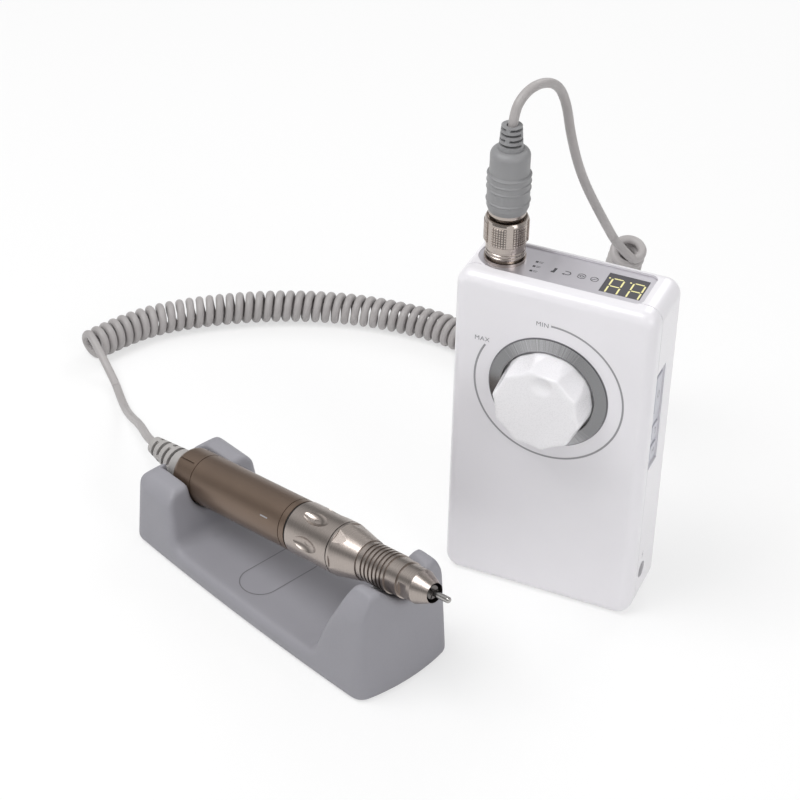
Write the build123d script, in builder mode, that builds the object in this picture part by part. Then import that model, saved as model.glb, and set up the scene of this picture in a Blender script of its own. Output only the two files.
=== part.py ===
"""Cordless nail drill set: control box, curly cord, handpiece and its cradle.

Millimetres. Origin at the centre of the control box's base, +X to its right, +Y to its back, +Z up.
"""
import os
from math import atan2, cos, degrees, pi, radians, sin, sqrt, tan

from build123d import *

# Control box, seen from the front
box_depth = 31.0
box_height = 135.0
box_corner = 6.0
inner_corner = 3.0
front_rounding = 4.0
back_rounding = 5.0
wall = 2.2
top_wall = 3.8
front_shell_depth = 7.5
seam_chamfer = 0.35
overrun = 1.0
fit_gap = 0.1
moving_gap = 0.3

# Case and board screws
case_screw_inset = 6.0
case_screw_low = 5.8
case_screw_drop = 19.0
case_boss_radius = 3.2
case_boss_back = 6.0
case_column_radius = 3.9
screw_seat = 3.0
screw_head_radius = 2.3
screw_head_height = 1.8
screw_shank_radius = 1.25
screw_pilot_radius = 1.35
screw_bite = 9.0
slot_depth = 0.7
slot_length = 2.4
slot_width = 0.7
board_boss_radius = 3.0
board_screw_head = 1.9
board_screw_head_height = 1.2
board_screw_shank = 1.0
board_screw_bite = 5.0

# Speed dial
dial_drop = 41.8
dial_pocket_radius = 22.5
dial_pocket_depth = 1.8
dial_floor = 2.2
dial_floor_radius = 24.5
dial_ring_radius = 22.3
dial_ring_bore = 17.8
dial_ring_rise = 1.5
dial_ring_lip = 0.4
knob_base_radius = 17.3
knob_front_radius = 16.9
knob_sink = 1.4
knob_reach = 13.0
knob_rounding = 0.9
knob_hollow_radius = 14.2
knob_front_wall = 2.2
knob_hub_radius = 4.6
knob_hub_start = 1.0
knob_scallop_radius = 30.0
knob_scallop_depth = 1.2
knob_scallop_count = 10
knob_scallop_angle = 46.0
dimple_ball_radius = 8.1
dimple_depth = 1.05
dimple_offset = 11.4
dimple_angle = 81.5
shaft_radius = 3.0
shaft_flat = 1.5
shaft_front = 8.5
shaft_back = 6.0
bushing_radius = 3.5
bushing_reach = 0.4
pot_radius = 8.0
pot_depth = 8.0
nut_across_flats = 10.0
nut_height = 1.6

# Main board
board_left = -26.0
board_right = 24.0
board_below_dial = 11.2
board_above_dial = 24.8
board_thickness = 1.6
board_hole_inset = 4.0
chip_size = 9.0
chip_height = 1.2
part_length = 6.0
part_width = 3.0
part_height = 2.0

# Battery
cell_radius = 9.15
cell_length = 65.0
cell_left_gap = 0.4
cell_right_room = 5.2
cell_y = 3.0
cell_board_gap = 2.55
cell_pitch = 18.4
cell_count = 3
cell_cap_radius = 3.0
cell_cap_length = 1.2
cell_rim = 0.8
tray_front = 4.0
tray_end_inset = 5.0
tray_margin = 2.4
pad_end_inset = 5.5
pad_top_drop = 4.3
pad_side_inset = 6.5

# Side buttons
recess_back = 1.3
recess_low_margin = 3.0
recess_high_margin = 2.5
recess_depth = 1.6
plate_thickness = 0.8
button_y = -3.2
button_width = 6.2
power_drop = 30.5
power_length = 16.0
power_gap = 5.5
small_button_length = 6.0
small_button_gap = 3.0
button_proud = 0.5
button_corner = 1.0
button_edge = 0.4
button_flange = 1.0
button_flange_thickness = 0.7
button_travel = 0.6
switch_board_margin = 4.5
switch_board_thickness = 1.0
switch_board_half = 4.4
tact_height = 1.9
tact_size = 4.5
tact_plunger_radius = 1.2
tact_body_height = 1.3
post_radius = 1.6
post_inset = 2.5

# Charging jack
jack_height = 15.2
jack_hole_radius = 3.3
jack_width = 9.0
jack_tall = 10.6
jack_length = 13.0
jack_socket_radius = 2.8
jack_socket_depth = 9.5
jack_pin_radius = 0.9
jack_pin_sink = 1.2

# Top panel and display
panel_y = 1.0
panel_width = 20.0
panel_left_inset = 3.2
panel_right_inset = 8.1
panel_corner = 3.0
panel_thickness = 1.0
panel_sink = 0.8
window_inset = 17.5
window_y = 0.85
window_length = 15.0
window_width = 12.7
window_flange = 1.0
window_flange_thickness = 0.8
module_length = 14.6
module_width = 12.0
module_gap = 0.2
display_board_start = 15.0
display_board_inset = 4.0
display_board_half = 9.0
display_board_drop = 10.2
display_post_reach = 15.0
display_post_inset = 6.1

# Cord connector, its heights taken from the top of the box
plug_inset = 12.5
plug_y = 1.0
socket_barrel_radius = 6.0
socket_bottom = -15.0
socket_flange_radius = 7.6
socket_flange = 1.2
socket_rim_radius = 6.2
socket_top = 7.0
socket_bore_radius = 5.4
socket_nut_across = 14.0
socket_nut_height = 2.2
insert_bottom = -14.0
insert_top = -2.0
pin_radius = 0.35
pin_top = 3.5
pin_circle = 2.6
pin_count = 5
pin_hole_radius = 0.7
sleeve_bottom = 1.2
sleeve_band_radius = 7.2
sleeve_bore_radius = 6.5
sleeve_cup_radius = 7.0
sleeve_rim_radius = 7.4
sleeve_band_top = 6.5
sleeve_grip_radius = 7.85
sleeve_grip_top = 14.5
sleeve_top = 16.5
sleeve_bore_top = 9.5
sleeve_collar = 0.9
sleeve_groove = 0.3
sleeve_groove_low = 2.4
sleeve_groove_pitch = 1.3
sleeve_flat_count = 6
sleeve_flat_depth = 0.35
sleeve_flat_width = 2.6
plug_nose_radius = 5.1
plug_nose_bore = 4.4
plug_nose_bottom = -1.0
plug_body_radius = 5.85
plug_body_bottom = 9.8
plug_body_top = 16.6
plug_flare_radius = 6.7
plug_flare_height = 1.4
plug_flange_top = 19.2
plug_stem_radius = 5.0
plug_stem_top = 28.0
plug_insert_bottom = -0.5
plug_insert_top = 17.0
pin_hole_depth = 5.0
boot_bottom_radius = 6.9
boot_radius = 7.6
boot_swell_top = 21.2
boot_upper_radius = 7.1
boot_step_bottom = 33.6
boot_step_top = 34.4
boot_shoulder_top = 43.3
boot_shoulder = 2.5
boot_neck_radius = 4.4
boot_top = 52.3
boot_top_radius = 3.7
boot_ring_heights = (23.5, 28.3, 31.0, 33.6)
boot_ring_rise = 0.35
boot_ring_half = 0.5
boot_slot_low = 45.2
boot_slot_pitch = 2.0
boot_slot_count = 4
boot_slot_height = 0.9
boot_slot_bridge = 1.6
relief_core_radius = 2.55
boot_cavity_top = 31.0

# Curly cord
cord_diameter = 3.5
coil_outer = 14.0
corner_share = 0.45
coil_half_turns = 147
coil_axis_points = (
    (-228.6, 47.9, 7.2),
    (-221.0, 68.5, 7.2),
    (-203.0, 88.5, 7.2),
    (-173.0, 109.5, 7.2),
    (-138.5, 123.0, 7.2),
    (-104.0, 126.0, 7.2),
    (-84.0, 122.5, 7.2),
    (-62.0, 114.5, 8.5),
    (-42.0, 107.5, 17.5),
    (-25.5, 99.5, 36.0),
    (-13.0, 89.0, 62.0),
    (-6.3, 80.5, 83.0),
    (-0.7, 72.6, 104.0),
)
coil_tail = 3.5
coil_samples = 24
parallel_limit = 1e-6
half_share = 0.5
tangent_share = 1e-3
cord_bore_radius = 1.9

# Free cords: from the plug to the coil, first over the plug and then behind the box, and from
# the handpiece to the coil
plug_arch_points = (
    (0.0, 0.0, 44.0),
    (0.0, 0.0, 56.5),
    (2.0, 5.9, 62.6),
    (5.0, 14.7, 63.0),
    (7.9, 23.2, 58.5),
    (9.6, 28.4, 49.0),
    (10.8, 31.7, 35.0),
    (13.2, 38.8, 16.0),
)
plug_drop_points = (
    (-7.6, 52.1, 129.5),
    (-4.4, 61.6, 114.5),
)
handpiece_lead_points = (
    (-149.4, -27.6, 25.3),
    (-160.6, -22.9, 25.3),
    (-174.2, -6.4, 18.0),
    (-187.1, 8.0, 8.5),
    (-198.0, 20.6, 2.2),
    (-207.4, 31.5, 2.2),
)

# Cradle, in its own frame: x along its length, y across
cradle_x = -84.91
cradle_y = -54.81
cradle_turn = -22.9
cradle_length = 135.0
cradle_width = 48.0
cradle_end_bow = 3.0
cradle_side_bow = 1.5
cradle_corner = 5.5
cradle_draft = 3.5
cradle_bottom = 0.4
cradle_floor = 8.0
rear_block_top = 31.0
rear_block_inner = -44.5
rear_cove_foot = -39.5
nose_cove_foot = 32.0
nose_slope_top = 50.5
nose_slope_height = 38.0
nose_block_top = 46.0
nose_block_inner = 54.0
nose_slope_middle = 42.5
nose_slope_middle_height = 20.0
nose_lip_run = 0.5
nose_lip_rise = 0.9
nose_inner_rounding = 2.5
nose_outer_rounding = 4.0
rear_block_rounding = 8.0
rear_inner_rounding = 3.0
rear_cove_rounding = 5.0
rim_rounding = 2.5
rim_reach = 15.0
base_rounding = 1.2
nose_shoulder = ((21.8, 24.0), (20.0, 37.0), (15.5, 46.0))
rear_shoulder = ((22.6, 20.0), (20.8, 27.0), (16.0, 31.0))
notch_station = 115.0
notch_radius = 8.2
notch_rise = 12.0
notch_length = 44.0
channel_radius = 10.4
channel_length = 30.0
channel_rear = -4.0
notch_rounding = 2.0
notch_low = 13.0
channel_rounding = 1.2
channel_reach = 9.0
channel_low = 27.5
relief_slot_half = 7.2
relief_slot_bottom = 17.6
relief_slot_end = -58.5
groove_x = -4.25
groove_width = 16.5
groove_length = 36.0
groove_line = 0.7
groove_depth = 0.5
foot_radius = 4.0
foot_height = 1.8
foot_edge = 0.5
foot_inset_x = 12.0
foot_inset_y = 10.0

# Handpiece: stations run along its axis from the rear of its body
hand_rear_x = -57.15
hand_rear_z = 25.3
hand_pitch = 9.81
body_radius = 10.0
body_front = 67.3
body_wall = 1.3
body_end_wall = 3.0
body_end_rounding = 3.3
body_line_station = 12.0
body_front_line_station = 64.3
body_slot_angle = 119.0
body_slot_length = 10.4
body_slot_width = 1.0
body_slot_depth = 0.8
line_depth = 0.25
line_width = 0.4
seal_length = 0.5
seal_radius = 9.7
ring_radius = 10.25
ring_length = 23.0
ring_chamfer = 0.7
scoop_start = 70.3
scoop_widest = 83.0
scoop_end = 88.6
scoop_count = 6
scoop_angle = 47.5
scoop_centre = 12.1
scoop_radius = 3.1
sleeve_radius = 8.6
sleeve_wall = 1.2
sleeve_rear = 60.0
cone_straight = 92.3
cone_radius = 10.2
cone_end = 104.0
cone_end_radius = 7.8
neck_radius = 7.4
neck_groove_start = 106.4
neck_groove_pitch = 2.0
neck_groove_count = 6
neck_groove_width = 0.9
neck_groove_depth = 0.6
neck_end = 118.4
band_radius = 6.9
band_end = 124.2
cone_flat_count = 6
cone_flat_distance = 8.35
cone_flat_tilt = 7.0
cone_bore = 5.6
cap_radius = 6.4
cap_straight_end = 131.0
cap_taper_end = 136.0
cap_nose_radius = 4.3
cap_end = 137.3
cap_bore = 3.75
cap_stem_rear = 120.5
cap_flat_distance = 5.75
cap_flat_start = 125.2
cap_flat_end = 129.2
can_radius = 8.6
can_wall = 0.8
can_rear = 6.0
can_front = 56.0
rotor_radius = 6.8
rotor_rear = 14.0
rotor_front = 47.0
rotor_slot_count = 5
rotor_slot_width = 1.6
rotor_slot_depth = 2.2
motor_shaft_radius = 1.5
motor_shaft_rear = 4.0
motor_shaft_front = 65.0
bearing_radius = 4.5
bearing_length = 3.4
drive_radius = 4.0
drive_rear = 60.6
drive_front = 71.0
spindle_radius = 3.0
spindle_rear = 66.5
spindle_front = 128.0
spindle_bore_radius = 1.6
spindle_bore_rear = 98.0
collet_seat_radius = 2.5
collet_seat_rear = 121.0
spindle_bearing_radius = 5.2
bearing_lip = 0.8
cone_bore_rear = 118.6
spindle_bearing_rear = 92.8
spindle_bearing_front = 113.0
collet_rear = 122.0
collet_flare_start = 128.6
collet_shoulder = 133.0
collet_front = 136.4
collet_radius = 3.2
collet_tip_radius = 2.6
collet_slot_count = 3
collet_slot_width = 0.5
collet_slot_rear = 124.5
bur_radius = 1.175
bur_rear = 108.0
bur_front = 145.0
bur_rounding = 0.9
relief_front_radius = 6.3
relief_rear_radius = 3.6
relief_length = 21.7
relief_collar = 4.0
relief_slot_count = 4
relief_slot_start = 6.2
relief_slot_pitch = 3.8
relief_slot_width = 1.6
relief_stem_radius = 5.0
relief_stem_front = 1.4
relief_stem_overlap = 1.5
relief_flange_radius = 6.5

# Values derived from the above
front_y = -box_depth/2
back_y = box_depth/2
box_width = cell_length + cell_left_gap + cell_right_room + 2*wall
seam_y = front_y + front_shell_depth
side_x = box_width/2
inner_x = side_x - wall
case_screw_x = side_x - case_screw_inset
case_screw_high = box_height - case_screw_drop
inner_front = front_y + wall
inner_back = back_y - wall
inner_top = box_height - top_wall
inner_mid = (wall + inner_top)/2
panel_top = box_height - panel_sink
panel_seat = panel_top - panel_thickness
panel_left = panel_left_inset - side_x
panel_right = side_x - panel_right_inset
plug_x = plug_inset - side_x
window_x = side_x - window_inset
display_board_height = box_height - display_board_drop
display_board_left = plug_x + display_board_start
display_board_right = side_x - display_board_inset
display_post_left = window_x - display_post_reach
display_post_right = side_x - display_post_inset
dial_height = box_height - dial_drop
pocket_floor_y = front_y + dial_pocket_depth
dial_floor_y = pocket_floor_y + dial_floor
board_front = dial_floor_y + pot_depth
scallop_circle = knob_front_radius + knob_scallop_radius - knob_scallop_depth
scallop_run_out = knob_base_radius + knob_scallop_radius - scallop_circle
scallop_tilt = degrees(atan2(scallop_run_out, knob_reach + knob_sink))
case_mid = (case_screw_low + case_screw_high)/2
case_span = case_screw_high - case_screw_low
board_low = dial_height - board_below_dial
board_high = dial_height + board_above_dial
board_x = (board_left + board_right)/2
board_mid = (board_low + board_high)/2
board_span_x = board_right - board_left - 2*board_hole_inset
board_span_z = board_high - board_low - 2*board_hole_inset
cell_left = cell_left_gap - inner_x
cell_high = board_low - cell_board_gap - cell_radius
cell_low = cell_high - (cell_count - 1)*cell_pitch
pad_low = cell_low - pad_end_inset
pad_high = cell_high - pad_top_drop
power_high = box_height - power_drop
power_low = power_high - power_length
direction_high = power_low - power_gap
direction_low = direction_high - small_button_length
mode_high = direction_low - small_button_gap
mode_low = mode_high - small_button_length
recess_low = mode_low - recess_low_margin
recess_high = power_high + recess_high_margin
switch_board_low = recess_low - switch_board_margin
switch_board_high = recess_high + switch_board_margin
recess_x = side_x - recess_depth
plate_x = recess_x + plate_thickness
recess_mid = (recess_low + recess_high)/2
recess_length = recess_high - recess_low
button_spans = [(power_low, power_high), (direction_low, direction_high), (mode_low, mode_high)]
button_back = inner_x - button_flange_thickness
switch_top = button_back - button_travel - fit_gap
switch_board_x = switch_top - tact_height - switch_board_thickness
display_board_top = display_board_height + board_thickness
window_seat = panel_seat - window_flange_thickness
flange_top = socket_flange - panel_sink
plug_lead_points = [(plug_x + x, plug_y + y, box_height + z) for x, y, z in plug_arch_points]
plug_lead_points += plug_drop_points

seam_plane = Plane(origin=(0, seam_y, box_height/2), x_dir=(1, 0, 0), z_dir=(0, -1, 0))
case_plane = Plane(origin=(0, case_boss_back, case_mid), x_dir=(1, 0, 0), z_dir=(0, -1, 0))
board_plane = Plane(origin=(board_x, board_front, board_mid), x_dir=(1, 0, 0), z_dir=(0, -1, 0))
dial_face = Plane(origin=(0, front_y, dial_height), x_dir=(1, 0, 0), z_dir=(0, -1, 0))
dial_section = Plane(origin=(0, front_y, dial_height), x_dir=(1, 0, 0), z_dir=(0, 0, -1))
dial_axis = Axis((0, front_y, dial_height), (0, -1, 0))
side_plane = Plane(origin=(side_x, 0, 0), x_dir=(0, 1, 0), z_dir=(1, 0, 0))
plug_section = Plane(origin=(plug_x, plug_y, box_height), x_dir=(1, 0, 0), z_dir=(0, -1, 0))
plug_axis = Axis((plug_x, plug_y, box_height), (0, 0, 1))

cradle_plane = Plane(
    origin=(cradle_x, cradle_y, 0),
    x_dir=(cos(radians(cradle_turn)), sin(radians(cradle_turn)), 0),
    z_dir=(0, 0, 1),
)
across = cradle_plane.y_dir
along = cradle_plane.x_dir*cos(radians(hand_pitch)) + cradle_plane.z_dir*sin(radians(hand_pitch))
hand_rear = cradle_plane.from_local_coords(Vector(hand_rear_x, 0, hand_rear_z))
hand_section = Plane(origin=hand_rear, x_dir=across, z_dir=across.cross(along))
hand_axis = Axis(hand_rear, along)
relief_section = Plane(origin=hand_rear, x_dir=across, z_dir=across.cross(-cradle_plane.x_dir))
relief_axis = Axis(hand_rear, -cradle_plane.x_dir)


def outline(points, plane):
    """A closed straight-sided outline on a plane."""
    with BuildSketch(plane) as flat:
        with BuildLine():
            Polyline(*points, close=True)
        make_face()
    return flat.sketch


def rounded_outline(width, height, corner, plane, across_shift=0, rise=0):
    """A rounded rectangle on a plane, moved sideways and up."""
    with BuildSketch(plane) as flat:
        with Locations((across_shift, rise)):
            RectangleRounded(width, height, corner)
    return flat.sketch


def panel_outline(gap, height):
    """The top panel's outline: a half round at the left, small corners at the right."""
    half = panel_width/2 + gap
    left = panel_left - gap
    right = panel_right + gap
    with BuildSketch(Plane(origin=(0, panel_y, height))) as flat:
        with BuildLine():
            Line((left + half, half), (right, half))
            Line((right, half), (right, -half))
            Line((right, -half), (left + half, -half))
            ThreePointArc((left + half, -half), (left, 0), (left + half, half))
        make_face()
        fillet(flat.vertices().group_by(Axis.X)[-1], panel_corner)
    return flat.sketch


def side_pad(length, width, corner, height, x):
    """A rounded upright pad facing +X, centred on the button line."""
    with BuildSketch(Plane(origin=(x, button_y, height), x_dir=(0, 1, 0), z_dir=(1, 0, 0))) as flat:
        RectangleRounded(width, length, corner)
    return flat.sketch


def plug_at(height):
    """The level plane centred on the connector at a height above the box."""
    return Plane(origin=(plug_x, plug_y, box_height + height))


def hand_at(station):
    """The plane square to the handpiece axis at a station; local y points up."""
    return Plane(origin=hand_rear + along*station, x_dir=across, z_dir=along)


def corner_radii(points):
    """The largest even rounding of each corner of a cord's route."""
    radii = []
    for before, here, after in zip(points, points[1:], points[2:]):
        run_in = Vector(*here) - Vector(*before)
        run_out = Vector(*after) - Vector(*here)
        half_turn = radians(run_in.get_angle(run_out)/2)
        radii.append(corner_share*min(run_in.length, run_out.length)/tan(half_turn))
    return radii


def route(name, points):
    """Straight runs joined by tangent arcs."""
    radii = corner_radii(points)
    print(name, "radii", [round(radius, 1) for radius in radii])
    with BuildLine() as line:
        FilletPolyline(*points, radius=radii)
    return line.wires()[0]


def heading(points):
    """The direction of a route's last run."""
    return (Vector(*points[-1]) - Vector(*points[-2])).normalized()


def biarc(start, start_tangent, end, end_tangent):
    """The meeting point and direction of two arcs that join two points tangentially."""
    chord = end - start
    total = start_tangent + end_tangent
    spread = 2*(1 - start_tangent.dot(end_tangent))
    if spread > parallel_limit:
        reach = (sqrt(chord.dot(total)**2 + spread*chord.dot(chord)) - chord.dot(total))/spread
    else:
        reach = chord.dot(chord)/(4*chord.dot(end_tangent))
    first = start + start_tangent*reach
    last = end - end_tangent*reach
    return (first + last)*half_share, (last - first).normalized()


# Front shell
with BuildPart() as front_shell:
    extrude(rounded_outline(box_width, box_height, box_corner, seam_plane), amount=front_shell_depth)
    fillet(front_shell.faces().sort_by(Axis.Y)[0].edges(), front_rounding)
    chamfer(front_shell.faces().sort_by(Axis.Y)[-1].edges(), seam_chamfer)
    extrude(
        rounded_outline(
            2*inner_x, inner_top - wall, inner_corner, seam_plane, 0, inner_mid - box_height/2
        ),
        amount=front_shell_depth - wall,
        mode=Mode.SUBTRACT,
    )
    with BuildSketch(dial_face.offset(front_y - dial_floor_y)):
        Circle(dial_floor_radius)
    extrude(amount=dial_floor_y - inner_front + fit_gap)
    with BuildSketch(case_plane):
        with GridLocations(2*case_screw_x, case_span, 2, 2):
            Circle(case_boss_radius)
    extrude(amount=case_boss_back - inner_front + fit_gap)
    with BuildSketch(board_plane):
        with GridLocations(board_span_x, board_span_z, 2, 2):
            Circle(board_boss_radius)
    extrude(amount=board_front - inner_front + fit_gap)
    with BuildSketch(case_plane):
        with GridLocations(2*case_screw_x, case_span, 2, 2):
            Circle(screw_pilot_radius)
    extrude(amount=screw_bite + overrun, mode=Mode.SUBTRACT)
    with BuildSketch(board_plane):
        with GridLocations(board_span_x, board_span_z, 2, 2):
            Circle(board_screw_shank + fit_gap)
    extrude(amount=board_screw_bite + overrun, mode=Mode.SUBTRACT)
    with BuildSketch(dial_face):
        Circle(dial_pocket_radius)
    extrude(amount=-dial_pocket_depth, mode=Mode.SUBTRACT)
    with BuildSketch(dial_face):
        Circle(bushing_radius + fit_gap)
    extrude(amount=-(dial_pocket_depth + dial_floor + overrun), mode=Mode.SUBTRACT)
    extrude(panel_outline(fit_gap, panel_seat), amount=box_height, mode=Mode.SUBTRACT)


# Rear shell
with BuildPart() as rear_shell:
    extrude(rounded_outline(box_width, box_height, box_corner, seam_plane), amount=seam_y - back_y)
    fillet(rear_shell.faces().sort_by(Axis.Y)[-1].edges(), back_rounding)
    extrude(
        rounded_outline(
            2*inner_x, inner_top - wall, inner_corner, seam_plane, 0, inner_mid - box_height/2
        ),
        amount=seam_y - inner_back,
        mode=Mode.SUBTRACT,
    )
    with BuildSketch(case_plane):
        with GridLocations(2*case_screw_x, case_span, 2, 2):
            Circle(case_column_radius)
    extrude(amount=case_boss_back - inner_back - fit_gap)
    with BuildSketch(case_plane):
        with GridLocations(2*case_screw_x, case_span, 2, 2):
            Circle(screw_pilot_radius)
    extrude(amount=case_boss_back - back_y - overrun, mode=Mode.SUBTRACT)
    with BuildSketch(case_plane.offset(-screw_seat)):
        with GridLocations(2*case_screw_x, case_span, 2, 2):
            Circle(screw_head_radius + fit_gap)
    extrude(amount=case_boss_back + screw_seat - back_y - overrun, mode=Mode.SUBTRACT)
    with BuildSketch(side_plane):
        with Locations(((seam_y + recess_back)/2, recess_mid)):
            Rectangle(recess_back - seam_y, recess_length)
    extrude(amount=-recess_depth, mode=Mode.SUBTRACT)
    for low, high in button_spans:
        length = high - low + 2*moving_gap
        width = button_width + 2*moving_gap
        extrude(
            side_pad(length, width, button_corner, (low + high)/2, side_x),
            amount=-(wall + overrun),
            mode=Mode.SUBTRACT,
        )
    with BuildSketch(side_plane):
        with Locations((button_y, jack_height)):
            Circle(jack_hole_radius)
    extrude(amount=-(wall + overrun), mode=Mode.SUBTRACT)
    extrude(panel_outline(fit_gap, panel_seat), amount=box_height, mode=Mode.SUBTRACT)
    with BuildSketch(Plane.XY.offset(inner_top - overrun)):
        with Locations((plug_x, plug_y)):
            Circle(socket_barrel_radius + fit_gap)
        with Locations((window_x, window_y)):
            Rectangle(module_length + 2*module_gap, module_width + 2*module_gap)
    extrude(amount=top_wall + overrun, mode=Mode.SUBTRACT)
    with BuildSketch(Plane.XY.offset(window_seat)):
        with Locations((window_x, window_y)):
            Rectangle(window_length + 2*window_flange + fit_gap, window_width + 2*window_flange + fit_gap)
    extrude(amount=top_wall, mode=Mode.SUBTRACT)
    with BuildSketch(Plane.XY.offset(display_board_top)):
        with Locations((display_post_left, panel_y), (display_post_right, panel_y)):
            Circle(post_radius)
    extrude(amount=inner_top - display_board_top + fit_gap)
    with BuildSketch(side_plane.offset(switch_board_x + switch_board_thickness - side_x)):
        with Locations((button_y, switch_board_low + post_inset), (button_y, switch_board_high - post_inset)):
            Circle(post_radius)
    extrude(amount=inner_x - switch_board_x - switch_board_thickness + fit_gap)

# Case screws and board screws
with BuildPart() as case_screws:
    with BuildSketch(case_plane.offset(-screw_seat)):
        with GridLocations(2*case_screw_x, case_span, 2, 2):
            Circle(screw_head_radius)
    extrude(amount=-screw_head_height)
    with BuildSketch(case_plane.offset(-screw_seat)):
        with GridLocations(2*case_screw_x, case_span, 2, 2):
            Circle(screw_shank_radius)
    extrude(amount=screw_seat + screw_bite)
    with BuildSketch(case_plane.offset(-screw_seat - screw_head_height)):
        with GridLocations(2*case_screw_x, case_span, 2, 2):
            Rectangle(slot_length, slot_width)
            Rectangle(slot_width, slot_length)
    extrude(amount=slot_depth, mode=Mode.SUBTRACT)

with BuildPart() as board_screws:
    with BuildSketch(board_plane.offset(-board_thickness)):
        with GridLocations(board_span_x, board_span_z, 2, 2):
            Circle(board_screw_head)
    extrude(amount=-board_screw_head_height)
    with BuildSketch(board_plane.offset(-board_thickness)):
        with GridLocations(board_span_x, board_span_z, 2, 2):
            Circle(board_screw_shank)
    extrude(amount=board_thickness + board_screw_bite)
    with BuildSketch(board_plane.offset(-board_thickness - board_screw_head_height)):
        with GridLocations(board_span_x, board_span_z, 2, 2):
            Rectangle(slot_length, slot_width)
            Rectangle(slot_width, slot_length)
    extrude(amount=slot_depth, mode=Mode.SUBTRACT)

# Top panel, display window, display module and its board
with BuildPart() as top_panel:
    extrude(panel_outline(0, panel_seat), amount=panel_thickness)
    with BuildSketch(Plane.XY.offset(panel_seat)):
        with Locations((plug_x, plug_y)):
            Circle(socket_barrel_radius + fit_gap)
        with Locations((window_x, window_y)):
            Rectangle(window_length + fit_gap, window_width + fit_gap)
    extrude(amount=panel_thickness, mode=Mode.SUBTRACT)

with BuildPart() as display_window:
    with BuildSketch(Plane.XY.offset(window_seat)):
        with Locations((window_x, window_y)):
            Rectangle(window_length + 2*window_flange, window_width + 2*window_flange)
    extrude(amount=window_flange_thickness)
    with BuildSketch(Plane.XY.offset(panel_seat)):
        with Locations((window_x, window_y)):
            Rectangle(window_length, window_width)
    extrude(amount=panel_thickness)

with BuildPart() as display_module:
    with BuildSketch(Plane.XY.offset(display_board_top)):
        with Locations((window_x, window_y)):
            Rectangle(module_length, module_width)
    extrude(amount=window_seat - display_board_top - fit_gap)

with BuildPart() as display_board:
    with BuildSketch(Plane.XY.offset(display_board_height)):
        with Locations(((display_board_left + display_board_right)/2, panel_y)):
            Rectangle(display_board_right - display_board_left, 2*display_board_half)
    extrude(amount=board_thickness)
    with BuildSketch(Plane.XY.offset(display_board_height)):
        with GridLocations(chip_size + part_length, part_length, 2, 2):
            Rectangle(part_length, part_width)
    extrude(amount=-part_height)

# Speed dial: trim ring, knob, shaft and potentiometer
with BuildPart() as dial_ring:
    ring_points = [
        (dial_ring_bore, -dial_pocket_depth),
        (dial_ring_radius, -dial_pocket_depth),
        (dial_ring_radius, dial_ring_lip),
        (dial_ring_bore + dial_ring_lip, dial_ring_rise),
        (dial_ring_bore, dial_ring_rise),
    ]
    revolve(outline(ring_points, dial_section), axis=dial_axis)

with BuildPart() as speed_knob:
    knob_points = [
        (0, knob_reach - knob_front_wall),
        (0, knob_reach),
        (knob_front_radius, knob_reach),
        (knob_base_radius, -knob_sink),
        (knob_hollow_radius, -knob_sink),
        (knob_hollow_radius, knob_reach - knob_front_wall),
    ]
    revolve(outline(knob_points, dial_section), axis=dial_axis)
    with Locations(dial_face.offset(knob_reach)):
        with PolarLocations(scallop_circle, knob_scallop_count, knob_scallop_angle):
            with Locations(Location((0, 0, 0), (0, -scallop_tilt, 0))):
                Cylinder(knob_scallop_radius, 4*knob_reach, mode=Mode.SUBTRACT)
    fillet(speed_knob.faces().sort_by(Axis.Y)[0].edges(), knob_rounding)
    with Locations(dial_face.offset(knob_reach + dimple_ball_radius - dimple_depth)):
        with PolarLocations(dimple_offset, 1, dimple_angle):
            Sphere(dimple_ball_radius, mode=Mode.SUBTRACT)
    with BuildSketch(dial_face.offset(knob_hub_start)):
        Circle(knob_hub_radius)
    extrude(amount=knob_reach - knob_front_wall - knob_hub_start + fit_gap)
    with BuildSketch(dial_face.offset(knob_hub_start)):
        Circle(shaft_radius)
        with Locations((0, shaft_flat + shaft_radius)):
            Rectangle(2*shaft_radius, 2*shaft_radius, mode=Mode.SUBTRACT)
    extrude(amount=shaft_front - knob_hub_start, mode=Mode.SUBTRACT)

with BuildPart() as pot_shaft:
    with BuildSketch(dial_face.offset(-shaft_back)):
        Circle(shaft_radius - fit_gap/2)
    extrude(amount=shaft_back + bushing_reach)
    with BuildSketch(dial_face.offset(bushing_reach)):
        Circle(shaft_radius - fit_gap/2)
        with Locations((0, shaft_flat + shaft_radius - fit_gap/2)):
            Rectangle(2*shaft_radius, 2*shaft_radius, mode=Mode.SUBTRACT)
    extrude(amount=shaft_front - bushing_reach)

with BuildPart() as potentiometer:
    with BuildSketch(dial_face.offset(front_y - dial_floor_y)):
        Circle(pot_radius)
    extrude(amount=-pot_depth)
    with BuildSketch(dial_face.offset(front_y - dial_floor_y)):
        Circle(bushing_radius)
    extrude(amount=dial_floor_y - front_y + bushing_reach)
    with BuildSketch(dial_face.offset(bushing_reach)):
        Circle(shaft_radius + fit_gap/2)
    extrude(amount=-(bushing_reach + shaft_back + fit_gap), mode=Mode.SUBTRACT)

with BuildPart() as pot_nut:
    with BuildSketch(dial_face.offset(-dial_pocket_depth)):
        RegularPolygon(nut_across_flats/2, 6, major_radius=False)
        Circle(bushing_radius + fit_gap/2, mode=Mode.SUBTRACT)
    extrude(amount=nut_height)

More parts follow.
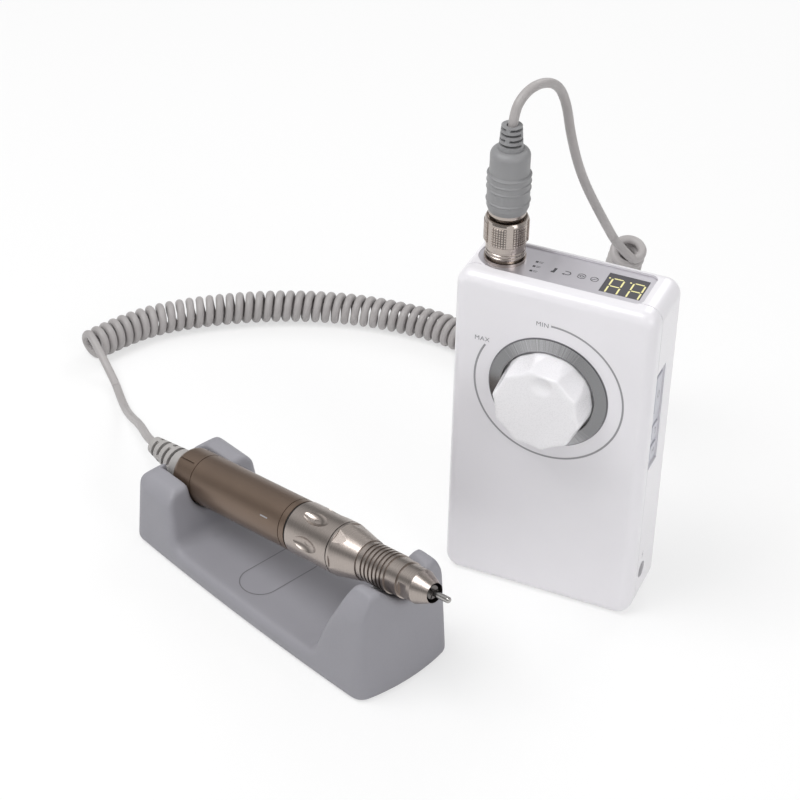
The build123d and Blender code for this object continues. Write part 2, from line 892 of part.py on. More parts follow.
# Main board
with BuildPart() as main_board:
    with BuildSketch(board_plane):
        Rectangle(board_right - board_left, board_high - board_low)
        with GridLocations(board_span_x, board_span_z, 2, 2):
            Circle(board_screw_shank + fit_gap, mode=Mode.SUBTRACT)
    extrude(amount=-board_thickness)
    with BuildSketch(board_plane.offset(-board_thickness)):
        Rectangle(chip_size, chip_size)
    extrude(amount=-chip_height)
    with BuildSketch(board_plane.offset(-board_thickness)):
        with GridLocations(board_span_x - chip_size, chip_size, 2, 3):
            Rectangle(part_length, part_width)
    extrude(amount=-part_height)

# Battery: three cells lying across the box, their tray and a foam pad
cell_heights = [cell_low + cell_pitch*step for step in range(cell_count)]
battery_cells = []
for number, height in enumerate(cell_heights, start=1):
    cell_section = Plane(origin=(cell_left, cell_y, height), x_dir=(0, 1, 0), z_dir=(0, 0, -1))
    with BuildPart() as cell:
        cell_points = [
            (0, 0),
            (cell_radius - cell_rim, 0),
            (cell_radius, cell_rim),
            (cell_radius, cell_length - cell_cap_length - cell_rim),
            (cell_radius - cell_rim, cell_length - cell_cap_length),
            (cell_cap_radius, cell_length - cell_cap_length),
            (cell_cap_radius, cell_length),
            (0, cell_length),
        ]
        revolve(outline(cell_points, cell_section), axis=Axis((cell_left, cell_y, height), (1, 0, 0)))
    battery_cells.append(cell.part)

with BuildPart() as battery_tray:
    tray_low = cell_heights[0] - cell_radius - tray_margin
    tray_high = cell_heights[-1] + cell_radius + tray_margin
    with BuildSketch(Plane.XY.offset(tray_low)):
        with Locations((cell_left + cell_length/2, (tray_front + inner_back)/2)):
            Rectangle(cell_length - 2*tray_end_inset, inner_back - tray_front)
    extrude(amount=tray_high - tray_low)
    with BuildSketch(Plane(origin=(cell_left, cell_y, cell_heights[0]), x_dir=(0, 1, 0), z_dir=(1, 0, 0))):
        for height in cell_heights:
            with Locations((0, height - cell_heights[0])):
                Circle(cell_radius + fit_gap)
    extrude(amount=cell_length, mode=Mode.SUBTRACT)

with BuildPart() as battery_pad:
    with BuildSketch(Plane.XY.offset(pad_low)):
        with Locations((cell_left + cell_length/2, (inner_front + cell_y - cell_radius - fit_gap)/2)):
            Rectangle(cell_length - 2*pad_side_inset, cell_y - cell_radius - fit_gap - inner_front)
    extrude(amount=pad_high - pad_low)

# Side buttons, their plate, switches and board
with BuildPart() as side_plate:
    with BuildSketch(side_plane.offset(-recess_depth)):
        with Locations(((seam_y + recess_back)/2, recess_mid)):
            Rectangle(recess_back - seam_y - 2*fit_gap, recess_length - 2*fit_gap)
    extrude(amount=plate_thickness)
    for low, high in button_spans:
        length = high - low + 2*moving_gap
        width = button_width + 2*moving_gap
        extrude(
            side_pad(length, width, button_corner, (low + high)/2, side_x),
            amount=-(wall + overrun),
            mode=Mode.SUBTRACT,
        )


def side_button(low, high):
    """A button cap with its retaining flange behind the wall."""
    with BuildPart() as button:
        extrude(
            side_pad(high - low, button_width, button_corner, (low + high)/2, inner_x),
            amount=plate_x + button_proud - inner_x,
        )
        fillet(button.faces().sort_by(Axis.X)[-1].edges(), button_edge)
        extrude(
            side_pad(
                high - low + 2*button_flange,
                button_width + 2*button_flange,
                button_corner,
                (low + high)/2,
                button_back,
            ),
            amount=button_flange_thickness,
        )
    return button.part


power_button, direction_button, mode_button = [side_button(low, high) for low, high in button_spans]

with BuildPart() as tact_switches:
    for low, high in button_spans:
        middle = (low + high)/2
        extrude(
            side_pad(tact_size, tact_size, button_edge, middle, switch_board_x + switch_board_thickness),
            amount=tact_body_height,
        )
        with BuildSketch(side_plane.offset(switch_top - side_x)):
            with Locations((button_y, middle)):
                Circle(tact_plunger_radius)
        extrude(amount=-(tact_height - tact_body_height))

with BuildPart() as switch_board:
    with BuildSketch(side_plane.offset(switch_board_x - side_x)):
        with Locations((button_y, (switch_board_low + switch_board_high)/2)):
            Rectangle(2*switch_board_half, switch_board_high - switch_board_low)
    extrude(amount=switch_board_thickness)

# Charging jack
with BuildPart() as dc_jack:
    with BuildSketch(side_plane.offset(inner_x - side_x)):
        with Locations((button_y, jack_height)):
            Rectangle(jack_width, jack_tall)
    extrude(amount=-jack_length)
    with BuildSketch(side_plane.offset(inner_x - side_x)):
        with Locations((button_y, jack_height)):
            Circle(jack_socket_radius)
    extrude(amount=-jack_socket_depth, mode=Mode.SUBTRACT)
    with BuildSketch(side_plane.offset(inner_x - side_x - jack_pin_sink)):
        with Locations((button_y, jack_height)):
            Circle(jack_pin_radius)
    extrude(amount=-(jack_socket_depth - jack_pin_sink + fit_gap))

# Cord connector: socket, its nut and insert
with BuildPart() as socket:
    socket_points = [
        (socket_bore_radius, socket_bottom),
        (socket_barrel_radius, socket_bottom),
        (socket_barrel_radius, -panel_sink),
        (socket_flange_radius, -panel_sink),
        (socket_flange_radius, flange_top),
        (socket_rim_radius, flange_top),
        (socket_rim_radius, socket_top),
        (socket_bore_radius, socket_top),
    ]
    revolve(outline(socket_points, plug_section), axis=plug_axis)

with BuildPart() as socket_nut:
    with BuildSketch(Plane(origin=(plug_x, plug_y, inner_top - socket_nut_height))):
        RegularPolygon(socket_nut_across/2, 6, major_radius=False, rotation=30)
        Circle(socket_barrel_radius + fit_gap/2, mode=Mode.SUBTRACT)
    extrude(amount=socket_nut_height)

with BuildPart() as socket_insert:
    with BuildSketch(plug_at(insert_bottom)):
        Circle(socket_bore_radius - fit_gap/2)
    extrude(amount=insert_top - insert_bottom)
    with BuildSketch(plug_at(insert_top)):
        with PolarLocations(pin_circle, pin_count):
            Circle(pin_radius)
    extrude(amount=pin_top - insert_top)

# Plug: coupling sleeve, metal shell, insert and grey boot
with BuildPart() as coupling_sleeve:
    coupling_points = [
        (sleeve_bore_radius, sleeve_bottom),
        (sleeve_band_radius - sleeve_groove, sleeve_bottom),
        (sleeve_band_radius, sleeve_bottom + sleeve_groove),
        (sleeve_band_radius, sleeve_band_top),
        (sleeve_grip_radius, sleeve_band_top + sleeve_grip_radius - sleeve_band_radius),
        (sleeve_grip_radius, sleeve_top - sleeve_collar),
        (sleeve_rim_radius, sleeve_top),
        (sleeve_cup_radius, sleeve_top),
        (sleeve_cup_radius, sleeve_grip_top),
        (plug_body_radius + moving_gap, sleeve_grip_top),
        (plug_body_radius + moving_gap, sleeve_bore_top),
        (sleeve_bore_radius, sleeve_bore_top),
    ]
    revolve(outline(coupling_points, plug_section), axis=plug_axis)
    for step in range(2):
        groove_height = sleeve_groove_low + step*sleeve_groove_pitch
        groove_points = [
            (sleeve_band_radius - sleeve_groove, groove_height),
            (sleeve_band_radius + sleeve_groove, groove_height - 2*sleeve_groove),
            (sleeve_band_radius + sleeve_groove, groove_height + 2*sleeve_groove),
        ]
        revolve(outline(groove_points, plug_section), axis=plug_axis, mode=Mode.SUBTRACT)
    with BuildSketch(plug_at(sleeve_band_top)):
        with PolarLocations(sleeve_grip_radius, sleeve_flat_count):
            Rectangle(2*sleeve_flat_depth, sleeve_flat_width)
    extrude(amount=sleeve_top - sleeve_band_top, mode=Mode.SUBTRACT)

with BuildPart() as plug_shell:
    shell_points = [
        (plug_nose_bore, plug_nose_bottom),
        (plug_nose_radius, plug_nose_bottom),
        (plug_nose_radius, plug_body_bottom),
        (plug_body_radius, plug_body_bottom),
        (plug_body_radius, plug_body_top),
        (plug_flare_radius, plug_body_top + plug_flare_height),
        (plug_flare_radius, plug_flange_top),
        (plug_stem_radius, plug_flange_top),
        (plug_stem_radius, plug_stem_top),
        (plug_nose_bore, plug_stem_top),
    ]
    revolve(outline(shell_points, plug_section), axis=plug_axis)

with BuildPart() as plug_insert:
    with BuildSketch(plug_at(plug_insert_bottom)):
        Circle(plug_nose_bore - fit_gap/2)
    extrude(amount=plug_insert_top - plug_insert_bottom)
    with BuildSketch(plug_at(plug_insert_bottom)):
        with PolarLocations(pin_circle, pin_count):
            Circle(pin_hole_radius)
    extrude(amount=pin_hole_depth, mode=Mode.SUBTRACT)

with BuildPart() as plug_boot:
    boot_points = [
        (plug_stem_radius + fit_gap, plug_flange_top),
        (boot_bottom_radius, plug_flange_top),
        (boot_radius, boot_swell_top),
        (boot_radius, boot_step_bottom),
        (boot_upper_radius, boot_step_top),
        (boot_upper_radius, boot_shoulder_top),
        (boot_neck_radius, boot_shoulder_top),
        (boot_top_radius, boot_top),
        (cord_bore_radius, boot_top),
        (cord_bore_radius, boot_cavity_top),
        (plug_stem_radius + fit_gap, plug_stem_top + fit_gap),
    ]
    revolve(outline(boot_points, plug_section), axis=plug_axis)
    shoulder_top = box_height + boot_shoulder_top
    shoulder_edges = plug_boot.edges().filter_by_position(Axis.Z, shoulder_top, shoulder_top)
    fillet(shoulder_edges.sort_by(SortBy.RADIUS)[-1], boot_shoulder)
    for ring_height in boot_ring_heights:
        ring_points = [
            (boot_upper_radius, ring_height - boot_ring_half),
            (boot_radius, ring_height - boot_ring_half),
            (boot_radius + boot_ring_rise, ring_height),
            (boot_radius, ring_height + boot_ring_half),
            (boot_upper_radius, ring_height + boot_ring_half),
        ]
        revolve(outline(ring_points, plug_section), axis=plug_axis)
    for step in range(boot_slot_count):
        with BuildSketch(plug_at(boot_slot_low + step*boot_slot_pitch)):
            Circle(boot_radius)
            Circle(relief_core_radius, mode=Mode.SUBTRACT)
            Rectangle(2*boot_radius, boot_slot_bridge, rotation=90*step, mode=Mode.SUBTRACT)
        extrude(amount=boot_slot_height, mode=Mode.SUBTRACT)

# Curly cord: one wire wound on a bent axis, its ends led out to the two free cords
coil_axis = route("coil axis", coil_axis_points)
curl_radius = (coil_outer - cord_diameter)/2
coil_turns = coil_half_turns/2


def coil_point(turn):
    """The wire's centre after a number of turns, starting on top of the coil."""
    centre = coil_axis.position_at(turn/coil_turns)
    ahead = coil_axis.tangent_at(turn/coil_turns)
    side = Vector(0, 0, 1).cross(ahead).normalized()
    angle = 2*pi*turn
    return centre + ahead.cross(side)*(curl_radius*cos(angle)) + side*(curl_radius*sin(angle))


def coil_tangent(turn):
    """The wire's direction after a number of turns."""
    before = max(turn - tangent_share, 0)
    after = min(turn + tangent_share, coil_turns)
    return (coil_point(after) - coil_point(before)).normalized()


coil_entry = Vector(*handpiece_lead_points[-1])
coil_exit = Vector(*plug_lead_points[-1])
entry_heading = heading(handpiece_lead_points)
exit_heading = -heading(plug_lead_points)
knots = [(coil_entry + entry_heading*coil_tail, entry_heading)]
for half_turn in range(coil_half_turns + 1):
    knots.append((coil_point(half_turn/2), coil_tangent(half_turn/2)))
knots.append((coil_exit - exit_heading*coil_tail, exit_heading))

with BuildPart() as cord_coil:
    with BuildLine() as coil_path:
        Line(coil_entry, knots[0][0])
        for (start, start_tangent), (end, end_tangent) in zip(knots, knots[1:]):
            middle, middle_tangent = biarc(start, start_tangent, end, end_tangent)
            TangentArc(start, middle, tangent=start_tangent)
            TangentArc(middle, end, tangent=middle_tangent)
        Line(knots[-1][0], coil_exit)
    with BuildSketch(Plane(origin=coil_entry, z_dir=entry_heading)):
        Circle(cord_diameter/2)
    sweep(path=coil_path.wires()[0])

coil_wire = coil_path.wires()[0]
sample_count = round(coil_turns*coil_samples)
samples = [tuple(coil_wire.position_at(number/sample_count)) for number in range(sample_count + 1)]
least_gap = coil_outer
for number, (x, y, z) in enumerate(samples):
    for (other_x, other_y, other_z) in samples[number + coil_samples//2:number + 3*coil_samples]:
        distance = sqrt((x - other_x)**2 + (y - other_y)**2 + (z - other_z)**2)
        least_gap = min(least_gap, distance - cord_diameter)
print("coil wire length", round(coil_wire.length, 1), "least gap to itself", round(least_gap, 2))
section_volume = pi*cord_diameter**2/4*coil_wire.length
print("coil volume", round(cord_coil.part.volume, 1), "section times length", round(section_volume, 1))

with BuildPart() as plug_lead:
    with BuildSketch(Plane(origin=plug_lead_points[0])):
        Circle(cord_diameter/2)
    sweep(path=route("plug lead", plug_lead_points))

with BuildPart() as handpiece_lead:
    with BuildSketch(Plane(origin=handpiece_lead_points[0], z_dir=heading(handpiece_lead_points[:2]))):
        Circle(cord_diameter/2)
    sweep(path=route("handpiece lead", handpiece_lead_points))

# Cradle: a bowed block cut to its side view, its blocks rounded over, then notched for the
# nose and channelled for the body, its open edges rounded
cradle_side = Plane(origin=(cradle_x, cradle_y, 0), x_dir=cradle_plane.x_dir, z_dir=-across)
half_length = cradle_length/2
half_width = cradle_width/2
end_lean = tan(radians(cradle_draft))


def cradle_edges(stations, offsets, lowest):
    """The cradle's edges above a height whose middles lie within two stations and two offsets."""
    found = []
    for edge in cradle.edges():
        middle = cradle_plane.to_local_coords(edge.position_at(half_share))
        within = stations[0] < middle.X < stations[1] and offsets[0] < abs(middle.Y) < offsets[1]
        if within and edge.bounding_box().min.Z > lowest:
            found.append(edge)
    return found


with BuildPart() as cradle:
    with BuildSketch(cradle_plane.offset(cradle_bottom)) as footprint:
        end_x = half_length - cradle_end_bow
        end_y = half_width - cradle_side_bow
        with BuildLine():
            ThreePointArc((end_x, -end_y), (half_length, 0), (end_x, end_y))
            ThreePointArc((end_x, end_y), (0, half_width), (-end_x, end_y))
            ThreePointArc((-end_x, end_y), (-half_length, 0), (-end_x, -end_y))
            ThreePointArc((-end_x, -end_y), (0, -half_width), (end_x, -end_y))
        make_face()
        fillet(footprint.vertices(), cradle_corner)
    extrude(amount=nose_block_top - cradle_bottom, taper=cradle_draft)
    with BuildSketch(cradle_side) as side_view:
        rear_end = half_length - end_lean*rear_block_top
        nose_end = half_length - end_lean*nose_block_top
        with BuildLine() as side_line:
            Line((-half_length - overrun, 0), (-rear_end, rear_block_top))
            Line((-rear_end, rear_block_top), (rear_block_inner, rear_block_top))
            Line((rear_block_inner, rear_block_top), (rear_cove_foot, cradle_floor))
            Line((rear_cove_foot, cradle_floor), (nose_cove_foot, cradle_floor))
            Spline(
                (nose_cove_foot, cradle_floor),
                (nose_slope_middle, nose_slope_middle_height),
                (nose_slope_top, nose_slope_height),
                (nose_block_inner, nose_block_top),
                tangents=((1, 0), (nose_lip_run, nose_lip_rise)),
            )
            Line((nose_block_inner, nose_block_top), (nose_end, nose_block_top))
            Line((nose_end, nose_block_top), (half_length + overrun, 0))
            Line((half_length + overrun, 0), (-half_length - overrun, 0))
        make_face()
        for corner_x, corner_z, rounding in (
            (-rear_end, rear_block_top, rear_block_rounding),
            (rear_block_inner, rear_block_top, rear_inner_rounding),
            (rear_cove_foot, cradle_floor, rear_cove_rounding),
            (nose_block_inner, nose_block_top, nose_inner_rounding),
            (nose_end, nose_block_top, nose_outer_rounding),
        ):
            fillet(side_view.vertices().sort_by_distance((corner_x, corner_z, 0))[0], rounding)
    extrude(amount=cradle_width, both=True, mode=Mode.INTERSECT)
    rim_edges = cradle_edges((-half_length, half_length), (rim_reach, half_width), cradle_bottom + overrun)
    fillet(rim_edges, rim_rounding)
    for block_x, block_length, shoulder in (
        (nose_cove_foot, half_length, nose_shoulder),
        (-half_length - overrun, half_length + rear_cove_foot, rear_shoulder),
    ):
        block_end = Plane(
            origin=cradle_plane.from_local_coords(Vector(block_x, 0, 0)),
            x_dir=across,
            z_dir=cradle_plane.x_dir,
        )
        (foot_y, foot_z), (middle_y, middle_z), (peak_y, peak_z) = shoulder
        for side in (1, -1):
            with BuildSketch(block_end):
                with BuildLine():
                    ThreePointArc(
                        (side*foot_y, foot_z), (side*middle_y, middle_z), (side*peak_y, peak_z)
                    )
                    Polyline(
                        (side*peak_y, peak_z),
                        (side*peak_y, peak_z + overrun),
                        (side*cradle_width, peak_z + overrun),
                        (side*cradle_width, foot_z),
                        (side*foot_y, foot_z),
                    )
                make_face()
            extrude(amount=block_length, mode=Mode.SUBTRACT)
    with BuildSketch(hand_at(notch_station)):
        Circle(notch_radius)
    extrude(amount=notch_length/2, both=True, mode=Mode.SUBTRACT)
    notch_tangent = notch_radius*sqrt(half_share)
    extrude(
        outline(
            [
                (-notch_tangent, -notch_tangent),
                (notch_tangent, -notch_tangent),
                (notch_tangent + notch_rise, notch_rise - notch_tangent),
                (-notch_tangent - notch_rise, notch_rise - notch_tangent),
            ],
            hand_at(notch_station),
        ),
        amount=notch_length/2,
        both=True,
        mode=Mode.SUBTRACT,
    )
    with BuildSketch(hand_at(channel_rear)):
        Circle(channel_radius)
        Rectangle(2*channel_radius, cradle_width, align=(Align.CENTER, Align.MIN))
    extrude(amount=channel_length, mode=Mode.SUBTRACT)
    relief_slot = Plane(
        origin=cradle_plane.from_local_coords(Vector(-cradle_length, 0, relief_slot_bottom)),
        x_dir=across,
        z_dir=cradle_plane.x_dir,
    )
    with BuildSketch(relief_slot):
        Rectangle(2*relief_slot_half, cradle_length, align=(Align.CENTER, Align.MIN))
    extrude(amount=cradle_length + relief_slot_end, mode=Mode.SUBTRACT)
    fillet(cradle_edges((nose_cove_foot, half_length), (-overrun, rim_reach), notch_low), notch_rounding)
    channel_span = (channel_reach, channel_radius + fit_gap)
    fillet(cradle_edges((-half_length, rear_cove_foot), channel_span, channel_low), channel_rounding)
    fillet(cradle.faces().sort_by(Axis.Z)[0].edges(), base_rounding)
    with BuildSketch(cradle_plane.offset(cradle_floor - groove_depth)):
        with Locations((groove_x, 0)):
            SlotOverall(groove_length, groove_width, rotation=90)
            SlotOverall(
                groove_length - 2*groove_line,
                groove_width - 2*groove_line,
                rotation=90,
                mode=Mode.SUBTRACT,
            )
    extrude(amount=cradle_floor, mode=Mode.SUBTRACT)
    with BuildSketch(cradle_plane.offset(cradle_bottom)):
        with GridLocations(cradle_length - 2*foot_inset_x, cradle_width - 2*foot_inset_y, 2, 2):
            Circle(foot_radius + fit_gap)
    extrude(amount=foot_height - cradle_bottom, mode=Mode.SUBTRACT)

with BuildPart() as cradle_feet:
    with BuildSketch(cradle_plane):
        with GridLocations(cradle_length - 2*foot_inset_x, cradle_width - 2*foot_inset_y, 2, 2):
            Circle(foot_radius)
    extrude(amount=foot_height)
    fillet(cradle_feet.faces().sort_by(Axis.Z)[:4].edges(), foot_edge)

# Handpiece body and strain relief
with BuildPart() as motor_housing:
    housing_points = [
        (relief_stem_radius + fit_gap, 0),
        (body_radius, 0),
        (body_radius, body_front),
        (body_radius - body_wall, body_front),
        (body_radius - body_wall, body_end_wall),
        (relief_stem_radius + fit_gap, body_end_wall),
    ]
    revolve(outline(housing_points, hand_section), axis=hand_axis)
    rear_edges = motor_housing.faces().sort_by(hand_axis)[0].edges()
    fillet(rear_edges.sort_by(SortBy.RADIUS)[-1], body_end_rounding)
    for station in (body_line_station, body_front_line_station):
        line_points = [
            (body_radius - line_depth, station),
            (body_radius + line_depth, station),
            (body_radius + line_depth, station + line_width),
            (body_radius - line_depth, station + line_width),
        ]
        revolve(outline(line_points, hand_section), axis=hand_axis, mode=Mode.SUBTRACT)
    with BuildSketch(hand_at(0)):
        with PolarLocations(body_radius, 1, body_slot_angle):
            Rectangle(2*body_slot_depth, body_slot_width)
    extrude(amount=body_slot_length, mode=Mode.SUBTRACT)

with BuildPart() as strain_relief:
    relief_points = [
        (0, -relief_collar/2),
        (relief_front_radius, -relief_collar/2),
        (relief_front_radius, relief_collar),
        (relief_rear_radius, relief_length),
        (0, relief_length),
    ]
    revolve(outline(relief_points, relief_section), axis=relief_axis)
    for step in range(relief_slot_count):
        slot_plane = Plane(
            origin=relief_axis.position + relief_axis.direction*(relief_slot_start + step*relief_slot_pitch),
            x_dir=across,
            z_dir=relief_axis.direction,
        )
        with BuildSketch(slot_plane):
            Circle(relief_front_radius + overrun)
            Circle(relief_core_radius, mode=Mode.SUBTRACT)
            Rectangle(2*body_radius, boot_slot_bridge, rotation=90*step, mode=Mode.SUBTRACT)
        extrude(amount=relief_slot_width, mode=Mode.SUBTRACT)
    split(bisect_by=hand_at(-fit_gap), keep=Keep.BOTTOM)
    stem_points = [
        (0, -relief_stem_overlap),
        (relief_stem_radius, -relief_stem_overlap),
        (relief_stem_radius, body_end_wall),
        (relief_flange_radius, body_end_wall),
        (relief_flange_radius, body_end_wall + relief_stem_front),
        (0, body_end_wall + relief_stem_front),
    ]
    revolve(outline(stem_points, hand_section), axis=hand_axis)
    with BuildSketch(Plane(origin=hand_rear, z_dir=relief_axis.direction)):
        Circle(cord_bore_radius)
    extrude(amount=body_radius + relief_length, both=True, mode=Mode.SUBTRACT)

# Motor: can, rotor with its shaft, bearings and drive coupling
with BuildPart() as motor_can:
    can_points = [
        (bearing_radius + fit_gap/2, can_rear),
        (can_radius, can_rear),
        (can_radius, can_front),
        (bearing_radius + fit_gap/2, can_front),
        (bearing_radius + fit_gap/2, can_front - bearing_length),
        (can_radius - can_wall, can_front - bearing_length),
        (can_radius - can_wall, can_rear + bearing_length),
        (bearing_radius + fit_gap/2, can_rear + bearing_length),
    ]
    revolve(outline(can_points, hand_section), axis=hand_axis)

with BuildPart() as rotor:
    with BuildSketch(hand_at(motor_shaft_rear + can_rear)):
        Circle(motor_shaft_radius)
    extrude(amount=motor_shaft_front - motor_shaft_rear - can_rear)
    with BuildSketch(hand_at(rotor_rear)):
        Circle(rotor_radius)
        with PolarLocations(rotor_radius, rotor_slot_count):
            Rectangle(2*rotor_slot_depth, rotor_slot_width, mode=Mode.SUBTRACT)
    extrude(amount=rotor_front - rotor_rear)

with BuildPart() as motor_bearings:
    for station in (can_rear, can_front - bearing_length):
        with BuildSketch(hand_at(station)):
            Circle(bearing_radius)
            Circle(motor_shaft_radius + fit_gap/2, mode=Mode.SUBTRACT)
        extrude(amount=bearing_length)

with BuildPart() as drive_coupling:
    drive_points = [
        (0, motor_shaft_front + fit_gap),
        (0, spindle_rear - fit_gap),
        (spindle_radius + fit_gap, spindle_rear - fit_gap),
        (spindle_radius + fit_gap, drive_front),
        (drive_radius, drive_front),
        (drive_radius, drive_rear),
        (motor_shaft_radius + fit_gap/2, drive_rear),
        (motor_shaft_radius + fit_gap/2, motor_shaft_front + fit_gap),
    ]
    revolve(outline(drive_points, hand_section), axis=hand_axis)

# Spindle, its bearings, collet and bur
with BuildPart() as spindle:
    spindle_points = [
        (0, spindle_rear),
        (spindle_radius, spindle_rear),
        (spindle_radius, spindle_front),
        (collet_seat_radius, spindle_front),
        (collet_seat_radius, collet_seat_rear),
        (spindle_bore_radius, collet_seat_rear),
        (spindle_bore_radius, spindle_bore_rear),
        (0, spindle_bore_rear),
    ]
    revolve(outline(spindle_points, hand_section), axis=hand_axis)

with BuildPart() as spindle_bearings:
    for station in (spindle_bearing_rear, spindle_bearing_front):
        with BuildSketch(hand_at(station)):
            Circle(spindle_bearing_radius)
            Circle(spindle_radius + fit_gap/2, mode=Mode.SUBTRACT)
        extrude(amount=bearing_length)

with BuildPart() as collet:
    collet_points = [
        (bur_radius + fit_gap/2, collet_rear),
        (collet_seat_radius - fit_gap/2, collet_rear),
        (collet_seat_radius - fit_gap/2, collet_flare_start),
        (collet_radius, collet_flare_start + collet_radius - collet_seat_radius),
        (collet_radius, collet_shoulder),
        (collet_tip_radius, collet_front),
        (bur_radius + fit_gap/2, collet_front),
    ]
    revolve(outline(collet_points, hand_section), axis=hand_axis)
    with BuildSketch(hand_at(collet_slot_rear)):
        with PolarLocations(collet_radius/2, collet_slot_count):
            Rectangle(collet_radius, collet_slot_width)
    extrude(amount=collet_front, mode=Mode.SUBTRACT)

with BuildPart() as bur:
    with BuildSketch(hand_at(bur_rear)):
        Circle(bur_radius)
    extrude(amount=bur_front - bur_rear)
    fillet(bur.faces().sort_by(hand_axis)[-1].edges(), bur_rounding)

# Twist lock ring with its finger scoops, and the black seals beside it
ring_rear = body_front + seal_length
ring_front = ring_rear + ring_length
with BuildPart() as scoop_cutter:
    with BuildSketch(Plane.XZ):
        with BuildLine():
            Spline((0, scoop_start), (scoop_radius, scoop_widest), (0, scoop_end))
            Line((0, scoop_end), (0, scoop_start))
        make_face()
    revolve(axis=Axis.Z)

with BuildPart() as lock_ring:
    ring_points = [
        (sleeve_radius + fit_gap, ring_rear),
        (ring_radius - ring_chamfer, ring_rear),
        (ring_radius, ring_rear + ring_chamfer),
        (ring_radius, ring_front - fit_gap),
        (ring_radius - fit_gap, ring_front),
        (sleeve_radius + fit_gap, ring_front),
    ]
    revolve(outline(ring_points, hand_section), axis=hand_axis)
    with Locations(hand_at(0)):
        with PolarLocations(scoop_centre, scoop_count, scoop_angle):
            add(scoop_cutter.part, mode=Mode.SUBTRACT)

with BuildPart() as ring_seals:
    for station in (body_front, ring_front):
        with BuildSketch(hand_at(station)):
            Circle(seal_radius)
            Circle(sleeve_radius + fit_gap/2, mode=Mode.SUBTRACT)
        extrude(amount=seal_length)

# Nose cone on its inner sleeve, and the nose cap around the collet
cone_rear = ring_front + seal_length
with BuildPart() as nose_cone:
    cone_points = [
        (sleeve_radius - sleeve_wall, sleeve_rear),
        (sleeve_radius, sleeve_rear),
        (sleeve_radius, cone_rear),
        (cone_radius, cone_rear),
        (cone_radius, cone_straight),
        (cone_end_radius, cone_end),
        (neck_radius, cone_end),
        (neck_radius, neck_end),
        (band_radius, neck_end),
        (band_radius, band_end),
        (cone_bore, band_end),
        (cone_bore, cone_bore_rear),
        (spindle_bearing_radius + fit_gap/2, cone_bore_rear),
        (spindle_bearing_radius + fit_gap/2, spindle_bearing_front),
        (spindle_bearing_radius - bearing_lip, spindle_bearing_front),
        (spindle_bearing_radius - bearing_lip, spindle_bearing_rear + bearing_length),
        (spindle_bearing_radius + fit_gap/2, spindle_bearing_rear + bearing_length),
        (spindle_bearing_radius + fit_gap/2, cone_rear),
        (sleeve_radius - sleeve_wall, cone_rear),
    ]
    revolve(outline(cone_points, hand_section), axis=hand_axis)
    for step in range(neck_groove_count):
        groove_station = neck_groove_start + step*neck_groove_pitch
        groove_points = [
            (neck_radius - neck_groove_depth, groove_station),
            (neck_radius + neck_groove_depth, groove_station),
            (neck_radius + neck_groove_depth, groove_station + neck_groove_width),
            (neck_radius - neck_groove_depth, groove_station + neck_groove_width),
        ]
        revolve(outline(groove_points, hand_section), axis=hand_axis, mode=Mode.SUBTRACT)
    with Locations(hand_at(cone_end)):
        with PolarLocations(cone_flat_distance, cone_flat_count):
            with Locations(Location((0, 0, 0), (0, -cone_flat_tilt, 0))):
                Box(
                    cone_radius, cone_radius, cone_end - cone_straight,
                    align=(Align.MIN, Align.CENTER, Align.MAX), mode=Mode.SUBTRACT,
                )

with BuildPart() as nose_cap:
    cap_points = [
        (cap_bore, band_end),
        (cap_radius, band_end),
        (cap_radius, cap_straight_end),
        (cap_nose_radius, cap_taper_end),
        (cap_bore, cap_end),
    ]
    revolve(outline(cap_points, hand_section), axis=hand_axis)
    stem_ring_points = [
        (cap_bore, cap_stem_rear),
        (cone_bore - fit_gap/2, cap_stem_rear),
        (cone_bore - fit_gap/2, band_end),
        (cap_bore, band_end),
    ]
    revolve(outline(stem_ring_points, hand_section), axis=hand_axis)
    with BuildSketch(hand_at(cap_flat_start)):
        with PolarLocations(cap_flat_distance + cap_radius, 2):
            Rectangle(2*cap_radius, 2*cap_radius)
    extrude(amount=cap_flat_end - cap_flat_start, mode=Mode.SUBTRACT)

pieces = {
    "front_shell": front_shell.part,
    "rear_shell": rear_shell.part,
    "case_screws": case_screws.part,
    "board_screws": board_screws.part,
    "top_panel": top_panel.part,
    "display_window": display_window.part,
    "display_module": display_module.part,
    "display_board": display_board.part,
    "dial_ring": dial_ring.part,
    "speed_knob": speed_knob.part,
    "pot_shaft": pot_shaft.part,
    "potentiometer": potentiometer.part,
    "pot_nut": pot_nut.part,
    "main_board": main_board.part,
    "battery_tray": battery_tray.part,
    "battery_pad": battery_pad.part,
    "side_plate": side_plate.part,
    "power_button": power_button,
    "direction_button": direction_button,
    "mode_button": mode_button,
    "tact_switches": tact_switches.part,
    "switch_board": switch_board.part,
    "dc_jack": dc_jack.part,
    "socket": socket.part,
    "socket_nut": socket_nut.part,
    "socket_insert": socket_insert.part,
    "coupling_sleeve": coupling_sleeve.part,
    "plug_shell": plug_shell.part,
    "plug_insert": plug_insert.part,
    "plug_boot": plug_boot.part,
    "plug_lead": plug_lead.part,
    "cord_coil": cord_coil.part,
    "handpiece_lead": handpiece_lead.part,
    "cradle": cradle.part,
    "cradle_feet": cradle_feet.part,
    "motor_housing": motor_housing.part,
    "strain_relief": strain_relief.part,
    "motor_can": motor_can.part,
    "rotor": rotor.part,
    "motor_bearings": motor_bearings.part,
    "drive_coupling": drive_coupling.part,
    "spindle": spindle.part,
    "spindle_bearings": spindle_bearings.part,
    "collet": collet.part,
    "bur": bur.part,
    "lock_ring": lock_ring.part,
    "ring_seals": ring_seals.part,
    "nose_cone": nose_cone.part,
    "nose_cap": nose_cap.part,
}
for number, cell_part in enumerate(battery_cells, start=1):
    pieces[f"battery_cell_{number}"] = cell_part

